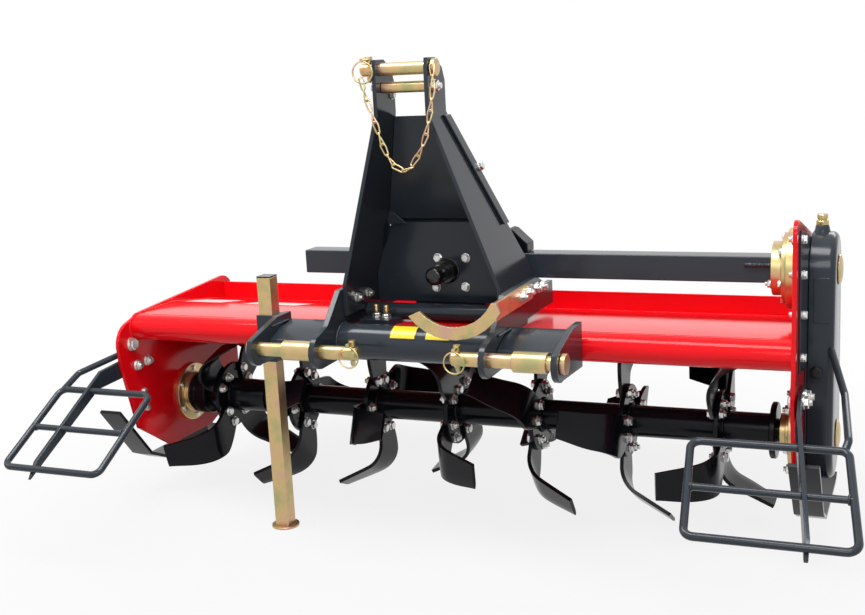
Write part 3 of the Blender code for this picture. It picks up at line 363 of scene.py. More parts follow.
def skinned_mesh(name, sections, ring=False):
    """A skin through equal sections, capped at both ends or, as a ring, joined end to end."""
    bm = bmesh.new()
    loops = [[bm.verts.new(point) for point in section] for section in sections]
    count = len(loops[0])
    pairs = list(zip(loops, loops[1:]))
    if ring:
        pairs.append((loops[-1], loops[0]))
    for a, b in pairs:
        for i in range(count):
            j = (i + 1) % count
            bm.faces.new((a[i], a[j], b[j], b[i]))
    if not ring:
        bm.faces.new(list(reversed(loops[0])))
        bm.faces.new(loops[-1])
    bmesh.ops.recalc_face_normals(bm, faces=bm.faces)
    mesh = bpy.data.meshes.new(name)
    bm.to_mesh(mesh)
    bm.free()
    crisp(mesh)
    return mesh


def turned_mesh(name, axis, centre, profile, ring=False, segments=64):
    """A lathe-turned shape from (distance along the axis, radius) pairs about X, Y or Z."""
    along = "XYZ".index(axis)
    first, second = {"X": (1, 2), "Y": (2, 0), "Z": (0, 1)}[axis]
    sections = []
    for distance, radius in profile:
        section = []
        for i in range(segments):
            angle = 2 * math.pi * i / segments
            point = Vector(centre)
            point[along] += distance
            point[first] += radius * math.cos(angle)
            point[second] += radius * math.sin(angle)
            section.append(point)
        sections.append(section)
    return skinned_mesh(name, sections, ring)


def tube_profile(start, end, outer, wall, chamfer=0.001):
    """Profile of a pipe with chamfered rims."""
    return [(start, outer - chamfer), (start + chamfer, outer), (end - chamfer, outer),
            (end, outer - chamfer), (end, outer - wall), (start, outer - wall)]


def turned_piece(name, axis, centre, profile, coat, *nodes, body="frame", ring=False, segments=64):
    """A lathe-turned piece, handed over."""
    mesh = turned_mesh(name, axis, centre, profile, ring, segments)
    hand_over(bpy.data.objects.new(name, mesh), coat, *nodes, body=body)


DECK_HALF = 0.7267
FRONT_TUBE_Y = -0.192
FRONT_TUBE_Z = 0.205
FRONT_TUBE_R = 0.029
turned_piece("front_cross_tube", "X", at(0, FRONT_TUBE_Y, FRONT_TUBE_Z),
             tube_profile(-DECK_HALF, DECK_HALF, FRONT_TUBE_R, 0.005), RED_ENAMEL, "front_tube", ring=True)

# Tailboard: a folded red sheet that is free to swing up behind the deck. Its hinge rod is round
# bar sprayed black, and runs the whole width.
rounded_copy("tailboard", "tailboard_sheet_red", RED_ENAMEL, body="tailboard")
BLACK_ENAMEL = gloss_enamel("black_enamel", "black_paint", (0.0058, 0.0068, 0.0095), (0.0042, 0.0050, 0.0072),
                            (0.06, 0.06, 0.065), 0.17, wear_and_highlight=0.20, dust=0.012, specular=0.15)
turned_piece("tailboard_hinge_rod", "X", at(0, 0.200, 0.184),
             [(-DECK_HALF, 0.005), (-DECK_HALF + 0.001, 0.006), (DECK_HALF - 0.001, 0.006),
              (DECK_HALF, 0.005)], BLACK_ENAMEL, "tailboard_rod", segments=20)

# Rotor tube and its ends: thick black pipe between a grooved seal drum at the left bearing and
# a coupling flange on the chain case shaft at the right. A sleeve thickens the pipe beside the drum.
DRUM_X = -PLATE_INNER + 0.024
HUB_RIGHT_X = PLATE_INNER - 0.052
ROTOR_R = 0.0335
turned_piece("rotor_pipe", "X", at(0, 0, 0),
             tube_profile(DRUM_X + 0.0433, HUB_RIGHT_X - 0.0123, ROTOR_R, 0.007),
             BLACK_ENAMEL, "rotor_tube", body="rotor", ring=True)
turned_piece("rotor_seal_drum", "X", at(DRUM_X, 0, 0),
             [(-0.020, 0.024), (0.0, 0.024), (0.0, 0.0485), (0.0015, 0.050), (0.012, 0.050),
              (0.013, 0.0485), (0.016, 0.0485), (0.017, 0.050), (0.041, 0.050), (0.043, 0.048)],
             BLACK_ENAMEL, "rotor_hub_left", body="rotor")
turned_piece("rotor_coupling_flange", "X", at(HUB_RIGHT_X, 0, 0),
             [(0.048, 0.024), (0.0, 0.024), (0.0, 0.056), (-0.002, 0.058), (-0.010, 0.058), (-0.012, 0.056)],
             BLACK_ENAMEL, "rotor_hub_right", body="rotor")
turned_piece("rotor_wear_sleeve", "X", at(-0.596, 0, 0), tube_profile(0.0, 0.092, 0.0385, 0.0055),
             BLACK_ENAMEL, body="rotor", ring=True)

# Tines: seven flanges welded to the pipe, each with four C-shaped blades of 8 mm spring steel
# bent over to the left and right in turn. Each blade is a flat blank bent along a leaning line.
FIRST_FLANGE_X = -0.606
FLANGE_PITCH = 0.1947
FLANGE_PHASES = [54.8, 22.4, 3.5, -27.2, -56.4, -77.5, -112.3]
FLANGE_XS = [FIRST_FLANGE_X + FLANGE_PITCH * i for i in range(len(FLANGE_PHASES))]
FLANGE_T = 0.010
FLANGE_R = 0.078
FLANGE_WALL = 0.0442
TINE_T = 0.008
BEND_START = 0.094
BEND_RADIUS = 0.060
BEND_ANGLE = math.radians(63.0)
BEND_LEAN = math.radians(20.0)
# Columns: distance out, trailing edge, leading edge
TINE_BLANK = [(0.035, 0.002, -0.060), (0.065, -0.005, -0.090), (0.094, -0.016, -0.107),
              (0.160, -0.0315, -0.108), (0.2435, -0.041, -0.0975)]
BLANK_START = TINE_BLANK[0][0]
BLANK_LENGTH = TINE_BLANK[-1][0] - BLANK_START


def column_of(tree, name, kind="FLOAT"):
    """Reads a named column of the points."""
    return feed(tree, "GeometryNodeInputNamedAttribute", {"Name": name}, data_type=kind)


def turned_about(tree, axis, angle):
    """A turn about one axis."""
    return feed(tree, "FunctionNodeAxisAngleToRotation", {"Axis": axis, "Angle": angle})


def deliver(tree, shape, finish, result):
    """Ends a tree with real geometry in its finish."""
    solid = feed(tree, "GeometryNodeRealizeInstances", {0: shape})
    coated = feed(tree, "GeometryNodeSetMaterial", {"Geometry": solid, "Material": finish})
    tree.links.new(coated, result)
    return tree


def build_tine_tree():
    """Bends a grid of the flat blank into one blade and sets a copy at each place."""
    tree, given, result = new_group(
        "tine_blades", "GeometryNodeTree",
        {"Places": "Geometry", "Blade thickness": TINE_T, "Bend start": BEND_START,
         "Bend radius": BEND_RADIUS, "Bend angle": BEND_ANGLE, "Lean": BEND_LEAN, "Root offset": 0.008,
         "Finish": "Material"}, {"Blades": "Geometry"})
    calc = calculator(tree)

    def edge_line(column):
        """The blank's edge as a curve of the share of its length."""
        node = tree.nodes.new("ShaderNodeFloatCurve")
        points = node.mapping.curves[0].points
        for row in TINE_BLANK[1:-1]:
            points.new((row[0] - BLANK_START) / BLANK_LENGTH, 0.5)
        for point, row in zip(points, TINE_BLANK):
            point.location = ((row[0] - BLANK_START) / BLANK_LENGTH, 0.5 + row[column] * 4)
            point.handle_type = "AUTO_CLAMPED"
        node.mapping.update()
        tree.links.new(length_share, node.inputs["Value"])
        return calc("DIVIDE", calc("SUBTRACT", node.outputs[0], 0.5), 4.0)

    slab = wire(tree, "GeometryNodeMeshCube", {"Size": (1.0, 1.0, 1.0), "Vertices X": 6,
                                               "Vertices Y": 26, "Vertices Z": 2}).outputs["Mesh"]
    here = feed(tree, "GeometryNodeInputPosition")
    parts = wire(tree, "ShaderNodeSeparateXYZ", {0: here}).outputs
    length_share = calc("ADD", parts["Y"], 0.5)
    width_share = calc("ADD", parts["X"], 0.5)
    trail = edge_line(1)
    lead = edge_line(2)
    out = calc("ADD", calc("MULTIPLY", length_share, BLANK_LENGTH), BLANK_START)
    along = calc("ADD", calc("MULTIPLY", calc("SUBTRACT", lead, trail), width_share), trail)
    # The leading edge is ground thin over its last fifth, past the bend
    ground = remapped(tree, width_share, 0.78, 1.0, 1.0, 0.35)
    outer = remapped(tree, out, 0.11, 0.15)
    thin = calc("SUBTRACT", 1.0, calc("MULTIPLY", calc("SUBTRACT", 1.0, ground), outer))
    lift = calc("MULTIPLY", calc("MULTIPLY", parts["Z"], given["Blade thickness"]), thin)
    past = calc("SUBTRACT", out, given["Bend start"])
    angle = calc("MINIMUM", calc("DIVIDE", past, given["Bend radius"]), given["Bend angle"])
    angle = calc("MAXIMUM", angle, 0.0)
    bent_length = calc("MULTIPLY", given["Bend radius"], given["Bend angle"])
    flat = calc("MAXIMUM", calc("SUBTRACT", past, bent_length), 0.0)
    sine = calc("SINE", angle)
    cosine = calc("COSINE", angle)
    reach = calc("ADD", calc("MINIMUM", past, 0.0), calc("MULTIPLY", given["Bend radius"], sine))
    reach = calc("ADD", reach, calc("MULTIPLY", flat, cosine))
    reach = calc("ADD", reach, given["Bend start"])
    reach = calc("SUBTRACT", reach, calc("MULTIPLY", lift, sine))
    sideways = calc("MULTIPLY", given["Bend radius"], calc("SUBTRACT", 1.0, cosine))
    sideways = calc("ADD", sideways, calc("MULTIPLY", flat, sine))
    sideways = calc("ADD", sideways, calc("MULTIPLY", lift, cosine))
    sideways = calc("SUBTRACT", sideways, given["Root offset"])
    lean_sine = calc("SINE", given["Lean"])
    lean_cosine = calc("COSINE", given["Lean"])
    trailing = calc("ADD", calc("MULTIPLY", reach, lean_sine), calc("MULTIPLY", along, lean_cosine))
    radial = calc("SUBTRACT", calc("MULTIPLY", reach, lean_cosine), calc("MULTIPLY", along, lean_sine))
    bent_place = feed(tree, "ShaderNodeCombineXYZ", {0: sideways, 1: trailing, 2: radial})
    blade = feed(tree, "GeometryNodeSetPosition", {"Geometry": slab, "Position": bent_place})
    mirrored = feed(tree, "GeometryNodeTransform", {"Geometry": blade, "Scale": (-1.0, 1.0, 1.0)})
    mirrored = feed(tree, "GeometryNodeFlipFaces", {"Mesh": mirrored})
    left_bent = column_of(tree, "left_bent", "BOOLEAN")
    right_bent = feed(tree, "FunctionNodeBooleanMath", {0: left_bent}, operation="NOT")
    swung = turned_about(tree, (1.0, 0.0, 0.0), column_of(tree, "spin"))
    both = tree.nodes.new("GeometryNodeJoinGeometry")
    for shape, chosen in ((mirrored, left_bent), (blade, right_bent)):
        row = feed(tree, "GeometryNodeInstanceOnPoints", {"Points": given["Places"], "Selection": chosen,
                                                          "Instance": shape, "Rotation": swung})
        tree.links.new(row, both.inputs[0])
    return deliver(tree, both.outputs[0], given["Finish"], result["Blades"])


def grown(name, tree, coat, points, edges=(), columns=()):
    """Runs a node tree on points with named columns, and keeps the result as a plain mesh."""
    source = bpy.data.meshes.new(name)
    source.from_pydata(points, edges, [])
    for column_name, kind, values in columns:
        column = source.attributes.new(column_name, kind, "POINT")
        key = "vector" if kind == "FLOAT_VECTOR" else "value"
        for cell, value in zip(column.data, values):
            setattr(cell, key, value)
    piece = bpy.data.objects.new(name, source)
    bpy.context.scene.collection.objects.link(piece)
    modifier = piece.modifiers.new("grow", "NODES")
    modifier.node_group = tree
    modifier[tree.interface.items_tree["Finish"].identifier] = coat[0]
    graph = bpy.context.evaluated_depsgraph_get()
    mesh = bpy.data.meshes.new_from_object(piece.evaluated_get(graph))
    piece.modifiers.remove(modifier)
    piece.data = mesh
    mesh.name = name
    return piece


tine_rows = []
for flange_x, phase in zip(FLANGE_XS, FLANGE_PHASES):
    for k in range(4):
        # The blade grows up from the axis; half a turn brings its phase to straight down
        tine_rows.append((at(flange_x, 0, 0), k % 2 == 0, math.pi - math.radians(phase + 90 * k)))
tine_places, left_bends, spins = zip(*tine_rows)
tines = grown("tine_blades", build_tine_tree(), BLACK_ENAMEL, tine_places,
              columns=[("left_bent", "BOOLEAN", left_bends), ("spin", "FLOAT", spins)])
flange_bm = bmesh.new()
for flange_x in FLANGE_XS:
    disc = turned_mesh("flange_disc", "X", at(flange_x, 0, 0),
                       tube_profile(-FLANGE_T / 2, FLANGE_T / 2, FLANGE_R, FLANGE_WALL), ring=True)
    flange_bm.from_mesh(disc)
    bpy.data.meshes.remove(disc)
flange_bm.from_mesh(tines.data)
whole = bpy.data.meshes.new("tine_flanges")
flange_bm.to_mesh(whole)
flange_bm.free()
crisp(whole)
bpy.data.objects.remove(tines)
flange_nodes = ["tine_flange_%d" % (i + 1) for i in range(len(FLANGE_XS))]
hand_over(bpy.data.objects.new("tines_and_flanges", whole), BLACK_ENAMEL, *flange_nodes, body="rotor")

# Bearings at the ends of the rotor: turned steel housings, yellow zinc plated, bolted to the
# side plates round the rotor's stub shafts.


def zinc_plate(name, tones, roughness):
    """Electroplated zinc: tones drift through the passivation, with fine drawing marks and paler edges that
    are partly worn plating and partly a painted highlight.
    """
    finish, tree, surface = new_finish(name)
    skin = wire(tree, "ShaderNodeGroup", {"Peel scale": 900.0, "Tone scale": 19.0}, node_tree=ENAMEL_SKIN)
    edge = wire(tree, "ShaderNodeGroup", {"Width": 0.0010, "Amount": 0.3}, node_tree=EDGE_WEAR_AND_HIGHLIGHT).outputs
    ramp = wire(tree, "ShaderNodeValToRGB", {0: skin.outputs["Tone"]})
    stops = ramp.color_ramp.elements
    stops.new(0.5)
    for stop, position, tone in zip(stops, (0.36, 0.5, 0.64), tones):
        stop.position = position
        stop.color = (*tone, 1.0)
    # Paler edges: partly worn plating, partly a painted highlight along the edges
    edged = blended(tree, edge["Mask"], ramp.outputs[0], (0.85, 0.80, 0.70, 1.0))
    tree.links.new(edged, surface["Base Color"])
    sheen = remapped(tree, skin.outputs["Peel"], 0.0, 1.0, roughness * 0.7, roughness * 1.4)
    tree.links.new(sheen, surface["Roughness"])
    grained(tree, surface, skin, 0.12, 0.0002, edge["Normal"])
    surface["Metallic"].default_value = 0.85
    return finish, "yellow_zinc"


YELLOW_ZINC = zinc_plate("yellow_zinc_plate", [(0.58, 0.36, 0.25), (0.60, 0.43, 0.20), (0.42, 0.39, 0.18)],
                         0.30)
turned_piece("left_bearing", "X", at(-PLATE_INNER, 0, 0),
             [(-0.016, 0.058), (0.0003, 0.058), (0.0003, 0.070), (0.008, 0.070), (0.009, 0.069),
              (0.009, 0.048), (0.011, 0.046), (0.017, 0.046), (0.018, 0.045), (0.018, 0.0246),
              (-0.016, 0.0246)], YELLOW_ZINC, "bearing_left", ring=True)
turned_piece("right_bearing", "X", at(PLATE_INNER, 0, 0),
             [(-0.046, 0.035), (-0.045, 0.036), (-0.034, 0.036), (-0.034, 0.044), (-0.033, 0.045),
              (-0.024, 0.045), (-0.024, 0.087), (-0.023, 0.088), (-0.015, 0.088), (-0.014, 0.087),
              (-0.014, 0.058), (0.008, 0.058), (0.008, 0.0246), (-0.046, 0.0246)],
             YELLOW_ZINC, "bearing_right", ring=True)

# Chain case: a welded steel box with rounded outer edges on a flat base plate, bolted to the
# right side plate. It holds the chain in oil and is sprayed slate grey like the hitch.
SLATE_ENAMEL = gloss_enamel("slate_enamel", "slate_paint", (0.027, 0.035, 0.045), (0.020, 0.027, 0.036),
                            (0.13, 0.15, 0.18), 0.17, wear_and_highlight=0.30, dust=0.03, specular=0.30)
CASE_INNER = 0.7386
CASE_OUTER = 0.7869
CASE_TOP_R = 0.074
CASE_LOW_R = 0.088
FILLER_X = 0.7558
BEAM_Z = 0.334


def case_ring(x, inset, steps=28):
    """One section of the case: round the upper shaft, and round the rotor axis."""
    points = []
    for centre_z, radius, start in ((BEAM_Z, CASE_TOP_R - inset, 0.0), (0.0, CASE_LOW_R - inset, 180.0)):
        for i in range(steps + 1):
            angle = math.radians(start + 180.0 * i / steps)
            points.append(at(x, radius * math.cos(angle), centre_z + radius * math.sin(angle)))
    return points


def wall_y(z, proud):
    """The chain case's front wall between the two round ends."""
    return -(CASE_TOP_R + (CASE_LOW_R - CASE_TOP_R) * (BEAM_Z - z) / BEAM_Z) - proud


def folded_plate(name, sections, coat=SLATE_ENAMEL, edge=0.0008):
    """A cut plate through equal rings of corners, with broken edges."""
    piece = bpy.data.objects.new(name, skinned_mesh(name, sections))
    soften(piece, edge)
    hand_over(piece, coat)


rounded_copy("case_base_plate", "case_base_plate_slate", SLATE_ENAMEL, edge=0.0006)
# The outer edge is pressed to an even round; columns: how far in from the outside, and inset
case_rings = [case_ring(CASE_INNER, 0.001), case_ring(CASE_INNER + 0.001, 0.0)]
case_rings += [case_ring(CASE_OUTER - short, inset) for short, inset in (
    (0.0120, 0.0), (0.0086, 0.0006), (0.0054, 0.0023), (0.0026, 0.0050), (0.0007, 0.0085), (0.0, 0.0125))]
case_shell = bpy.data.objects.new("chain_case_shell", skinned_mesh("chain_case_shell", case_rings))
hand_over(case_shell, SLATE_ENAMEL, "chain_case", "case_cover")
for cap_name, cap_z in (("upper", BEAM_Z), ("lower", 0.0)):
    turned_piece("shaft_cap_" + cap_name, "X", at(CASE_OUTER + 0.0003, 0, cap_z),
                 [(0.0, 0.0290), (0.0015, 0.0300), (0.0034, 0.0290), (0.0058, 0.0240), (0.0074, 0.0160),
                  (0.0080, 0.0070)], YELLOW_ZINC, "case_cap_" + cap_name)
panel = [(0.7475, 0.243), (0.7475, 0.330), (0.7775, 0.330), (0.7775, 0.243)]
folded_plate("case_stiffening_panel",
             [[at(x, wall_y(z, proud), z) for x, z in panel] for proud in (-0.001, 0.0024)])
turned_piece("filler_boss", "Z", at(FILLER_X, 0, BEAM_Z + 0.0720),
             [(0, 0.0165), (0.003, 0.0150), (0.014, 0.0125), (0.015, 0.0115)], SLATE_ENAMEL, segments=36)
turned_piece("oil_filler", "Z", at(FILLER_X, 0, BEAM_Z + 0.0746),
             [(0.009, 0.0085), (0.0125, 0.0085), (0.0125, 0.0115), (0.014, 0.0120), (0.020, 0.0120),
              (0.021, 0.0112), (0.021, 0.0085), (0.0235, 0.0085), (0.0245, 0.0102), (0.032, 0.0102),
              (0.034, 0.0085)], YELLOW_ZINC, "filler_plug", segments=28)

# Beam: square tube over the deck that carries the cross shaft from the gearbox to the chain
# case, with a plated bearing housing at its right end.
for side_name in ("left", "right"):
    rounded_copy("beam_" + side_name, "cross_beam_" + side_name, SLATE_ENAMEL, edge=0.0022)
turned_piece("upper_bearing", "X", at(0.7267, 0, BEAM_Z),
             [(0, 0.080), (-0.031, 0.080), (-0.032, 0.079), (-0.032, 0.072), (-0.034, 0.071),
              (-0.040, 0.071), (-0.041, 0.070), (-0.041, 0.055), (-0.042, 0.054), (-0.061, 0.054),
              (-0.062, 0.053)], YELLOW_ZINC, "upper_bearing_housing")

# Gearbox: a cast box behind a cut plate that closes the foot of the mast; the input shaft
# stands out of it in a black seal housing and wears a transport cap.
HITCH_X = 0.008
for node_name in ("gearbox_case", "gearbox_front_plate"):
    rounded_copy(node_name, node_name + "_slate", SLATE_ENAMEL)


def moulded_plastic(name, colour, roughness):
    """Black moulded plastic or rubber with a fine spark-eroded grain."""
    finish, tree, surface = new_finish(name)
    skin = wire(tree, "ShaderNodeGroup", {"Peel scale": 1500.0, "Tone scale": 30.0}, node_tree=ENAMEL_SKIN)
    film = wire(tree, "ShaderNodeGroup", {"Amount": 0.12}, node_tree=SETTLED_DUST).outputs["Mask"]
    pale = [c * 1.7 for c in colour]
    toned = blended(tree, skin.outputs["Tone"], (*colour, 1.0), (*pale, 1.0))
    tree.links.new(blended(tree, film, toned, DUST_COLOUR), surface["Base Color"])
    sheen = remapped(tree, skin.outputs["Tone"], 0.0, 1.0, roughness * 0.8, roughness * 1.2)
    tree.links.new(sheen, surface["Roughness"])
    grained(tree, surface, skin, 0.25, 0.0003)
    return finish, "black_plastic"


BLACK_PLASTIC = moulded_plastic("black_moulding", (0.0045, 0.0045, 0.005), 0.16)
turned_piece("input_seal", "Y", at(HITCH_X, -0.0983, BEAM_Z),
             [(0, 0.028), (-0.004, 0.028), (-0.0045, 0.0262), (-0.016, 0.0255), (-0.020, 0.0235),
              (-0.020, 0.0181), (0, 0.0181)], BLACK_PLASTIC, "pto_seal_housing", ring=True)
turned_piece("input_shaft", "Y", at(HITCH_X, -0.090, BEAM_Z),
             [(-0.001, 0.0175), (-0.050, 0.0175), (-0.051, 0.0190), (-0.053, 0.0195), (-0.080, 0.0195),
              (-0.084, 0.0186), (-0.088, 0.0160), (-0.090, 0.0130)],
             BLACK_PLASTIC, "pto_shaft", body="pto", segments=48)

# Mast: two folded side plates, flared from the top link ears down to the hitch, with a back
# plate, straps along the rear edges, and the gearbox between their feet.
for node_name in ("mast_side_left", "mast_side_right", "mast_strap_left", "mast_strap_right",
                  "mast_back_plate"):
    rounded_copy(node_name, node_name + "_slate", SLATE_ENAMEL, edge=0.0012)

# Top link pin and the spacer tube under it, across the ears of the mast: turned steel, plated in
# yellow zinc. The pin has a flat head at the right and a linch pin at the left.
TOP_HALF = 0.058
turned_piece("top_link_pin", "X", at(HITCH_X, -0.268, 0.757),
             [(-TOP_HALF - 0.032, 0.010), (-TOP_HALF - 0.029, 0.0125), (TOP_HALF + 0.0003, 0.0125),
              (TOP_HALF + 0.0003, 0.0160), (TOP_HALF + 0.0013, 0.017), (TOP_HALF + 0.009, 0.017),
              (TOP_HALF + 0.010, 0.0160)], YELLOW_ZINC, "top_pin", segments=40)
turned_piece("top_spacer_tube", "X", at(HITCH_X, -0.262, 0.722),
             [(-TOP_HALF - 0.010, 0.00605), (-0.0497, 0.00605), (-0.0497, 0.010), (-0.0487, 0.011),
              (0.0487, 0.011), (0.0497, 0.010), (0.0497, 0.00605), (TOP_HALF + 0.010, 0.00605)],
             YELLOW_ZINC, "top_spacer", segments=36)

# Lower hitch: two pairs of ears for the tractor's lower links, flame cut and welded to the
# tubes, with a short round tube between the inner pair.
HITCH_TUBE_HALF = 0.1717
HITCH_TUBE_Y = -0.2583
HITCH_TUBE_Z = 0.211
HITCH_TUBE_R = 0.037
for node_name in ("link_plate_left", "outer_ear_left", "outer_ear_right", "ear_web_left", "ear_web_right"):
    rounded_copy(node_name, node_name + "_slate", SLATE_ENAMEL, edge=0.0013)
# The right link plate has a round notch near its rear top corner
notch_tool = bpy.data.objects.new("notch_tool", turned_mesh("notch_tool", "X", at(0.186, -0.004, 0.2885),
                                                            [(-0.03, 0.0085), (0.03, 0.0085)], segments=24))
bpy.context.scene.collection.objects.link(notch_tool)
rounded_copy("link_plate_right", "link_plate_right_slate", SLATE_ENAMEL, edge=0.0013, cutter=notch_tool)
turned_piece("hitch_cross_tube", "X", at(HITCH_X, HITCH_TUBE_Y, HITCH_TUBE_Z),
             tube_profile(-HITCH_TUBE_HALF, HITCH_TUBE_HALF, HITCH_TUBE_R, 0.006),
             SLATE_ENAMEL, "hitch_tube", ring=True)

# Lower link pins: 28 mm turned steel with a collar that takes up the play, a flat head outside
# and a linch pin inside. Yellow zinc.
LINK_PIN_R = 0.014
COLLAR_R = 0.020
PIN_HEAD_START = 0.3253
PIN_HEAD_END = 0.3353
for pin_side, side, collar_start, collar_end, pin_end in (("left", -1, 0.1843, 0.256, 0.090),
                                                          ("right", 1, 0.232, 0.299, 0.106)):
    pin_profile = [(pin_end, 0.0105), (pin_end + 0.004, LINK_PIN_R)]
    for start, end in ((collar_start, collar_end), (PIN_HEAD_START, PIN_HEAD_END)):
        pin_profile += [(start, LINK_PIN_R), (start, COLLAR_R - 0.001), (start + 0.001, COLLAR_R),
                        (end - 0.001, COLLAR_R), (end, COLLAR_R - 0.001), (end, LINK_PIN_R)]
    # The head's outer face closes the pin
    pin_profile.pop()
    turned_piece("link_pin_" + pin_side, "X", at(HITCH_X, -0.360, 0.212),
                 [(side * distance, radius) for distance, radius in pin_profile],
                 YELLOW_ZINC, "lower_pin_" + pin_side, segments=48)
for node_name in ("linch_pin_left", "linch_pin_right", "linch_pin_top"):
    rounded_copy(node_name, node_name + "_plated", YELLOW_ZINC, edge=0.0004)

# Drive shaft hook: a plated flat bar bent across in front of the gearbox, where the drive
# shaft rests when the machine is off the tractor.
rounded_copy("driveline_hook", "drive_shaft_hook", YELLOW_ZINC, edge=0.0012)

# Parking stand: a plated square leg in a slate sleeve beside the left ear, with a round foot
# and a plastic cap.
rounded_copy("stand_sleeve", "stand_sleeve_slate", SLATE_ENAMEL, edge=0.0012)
rounded_copy("stand_leg", "stand_leg_plated", YELLOW_ZINC, edge=0.0012, body="parking_stand")
leg_low, leg_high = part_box("stand_leg")
turned_piece("stand_foot_plate", "Z",
             ((leg_low.x + leg_high.x) / 2, (leg_low.y + leg_high.y) / 2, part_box("stand_foot")[0].z),
             [(0, 0.0295), (0.0005, 0.030), (0.0045, 0.030), (0.005, 0.0295)],
             YELLOW_ZINC, "stand_foot", body="parking_stand")
rounded_copy("stand_cap", "stand_cap_moulding", BLACK_PLASTIC, edge=0.0006, body="parking_stand")

# Skids: bent flat bars bolted under the side plates, where they set the working depth. They are
# sprayed black like the rotor.
for side_name in ("left", "right"):
    rounded_copy("skid_" + side_name, "depth_skid_" + side_name, BLACK_ENAMEL, edge=0.0012)

# Guards: ladder frames of bent round bar on flat arms bolted to the side plates, which keep feet
# away from the tines. The bars are bent cold and welded at every joint.
PLATE_OUTER = 0.735
HOOP_Y = -0.360
HOOP_FOOT_Y = -0.560
HOOP_FOOT_Z = -0.015


def build_rod_tree():
    """Round bar bent along the paths; each point says how thick the bar and how wide its bend is."""
    tree, given, result = new_group(
        "bent_rods", "GeometryNodeTree",
        {"Paths": "Geometry", "Sides": 16, "Steps in a bend": 8, "Finish": "Material"}, {"Rods": "Geometry"})
    path = feed(tree, "GeometryNodeMeshToCurve", {"Mesh": given["Paths"]})
    round_path = feed(tree, "GeometryNodeFilletCurve",
                      {"Curve": path, "Radius": column_of(tree, "bend"), "Limit Radius": True,
                       "Count": given["Steps in a bend"]}, mode="POLY")
    bar = feed(tree, "GeometryNodeCurvePrimitiveCircle", {"Resolution": given["Sides"], "Radius": 1.0})
    swept = feed(tree, "GeometryNodeCurveToMesh",
                 {"Curve": round_path, "Profile Curve": bar, "Scale": column_of(tree, "rod"),
                  "Fill Caps": True})
    return deliver(tree, swept, given["Finish"], result["Rods"])


def chained(paths):
    """Points and edges of several paths; each path is its points and whether it closes."""
    points, edges = [], []
    for path, closed in paths:
        first = len(points)
        points += path
        edges += [(first + i, first + i + 1) for i in range(len(path) - 1)]
        if closed:
            edges.append((len(points) - 1, first))
    return points, edges


def spread(paths, values):
    """One value for each path, repeated for its points."""
    return [value for (path, _), value in zip(paths, values) for _ in path]


ROD_TREE = build_rod_tree()
# Columns: from the side plate's outer face the hoop's top (inner, outer), its foot (inner, outer)
# and the lower end of the arm, then the height of the top bar
GUARD_TABLE = (("left", -1, (-0.150, 0.085), (-0.150, 0.088), 0.017, 0.097),
               ("right", 1, (-0.167, 0.101), (-0.143, 0.133), 0.053, 0.084))
# The left stay starts on the side plate, the right one on the chain case
STAYS = {"left": ((-0.7428, -0.232, 0.152), (-0.790, -0.335, 0.128), (-0.814, HOOP_Y, 0.097)),
         "right": ((0.783, -0.082, 0.190), (0.815, -0.181, 0.133), (0.834, -0.345, 0.098),
                   (0.829, HOOP_Y, 0.084))}
guard_joints = []
for side_name, side, top_out, foot_out, arm_out, top_z in GUARD_TABLE:
    top_x = [side * (PLATE_OUTER + d) for d in top_out]
    foot_x = [side * (PLATE_OUTER + d) for d in foot_out]
    hoop = [at(top_x[0], HOOP_Y, top_z), at(top_x[1], HOOP_Y, top_z),
            at(foot_x[1], HOOP_FOOT_Y, HOOP_FOOT_Z), at(foot_x[0], HOOP_FOOT_Y, HOOP_FOOT_Z)]
    rung = [at((top + foot) / 2, (HOOP_Y + HOOP_FOOT_Y) / 2, (top_z + HOOP_FOOT_Z) / 2)
            for top, foot in zip(top_x, foot_x)]
    rod_paths = [(hoop, True), (rung, False), ([at(x, y, z) for x, y, z in STAYS[side_name]], False)]
    rod_points, rod_edges = chained(rod_paths)
    rods = grown("guard_rods_" + side_name, ROD_TREE, SLATE_ENAMEL, rod_points, rod_edges,
                 [("rod", "FLOAT", spread(rod_paths, (0.0073, 0.0067, 0.0070))),
                  ("bend", "FLOAT", spread(rod_paths, (0.018, 0.018, 0.015)))])
    crisp(rods.data, 40.0)
    hand_over(rods, SLATE_ENAMEL, "guard_" + side_name)
    guard_joints += [rung[0] + Vector((side * 0.0075, 0, 0)), rung[1] - Vector((side * 0.0075, 0, 0))]
    arm_x = PLATE_OUTER + 0.0043
    arm_foot_x = PLATE_OUTER + arm_out
    arm_rings = []
    for y, z, x, lean in ((-0.150, 0.140, arm_x, 0.0), (-0.215, 0.140, arm_x, 0.0),
                          (-0.330, 0.133, arm_x * 0.8 + arm_foot_x * 0.2, 0.35),
                          (-0.558, 0.0, arm_foot_x, 0.62)):
        up = Vector((0, math.sin(lean), math.cos(lean))) * 0.020
        wide = Vector((side * 0.004, 0, 0))
        centre = at(side * x, y, z - 0.020)
        arm_rings.append([centre - wide - up, centre + wide - up, centre + wide + up, centre - wide + up])
    folded_plate("guard_arm_" + side_name, arm_rings, edge=0.0012)

# Safety chain of the top pin: twisted oval links of plated wire, hung from the pin's head round
# the front of the mast to the linch pin.


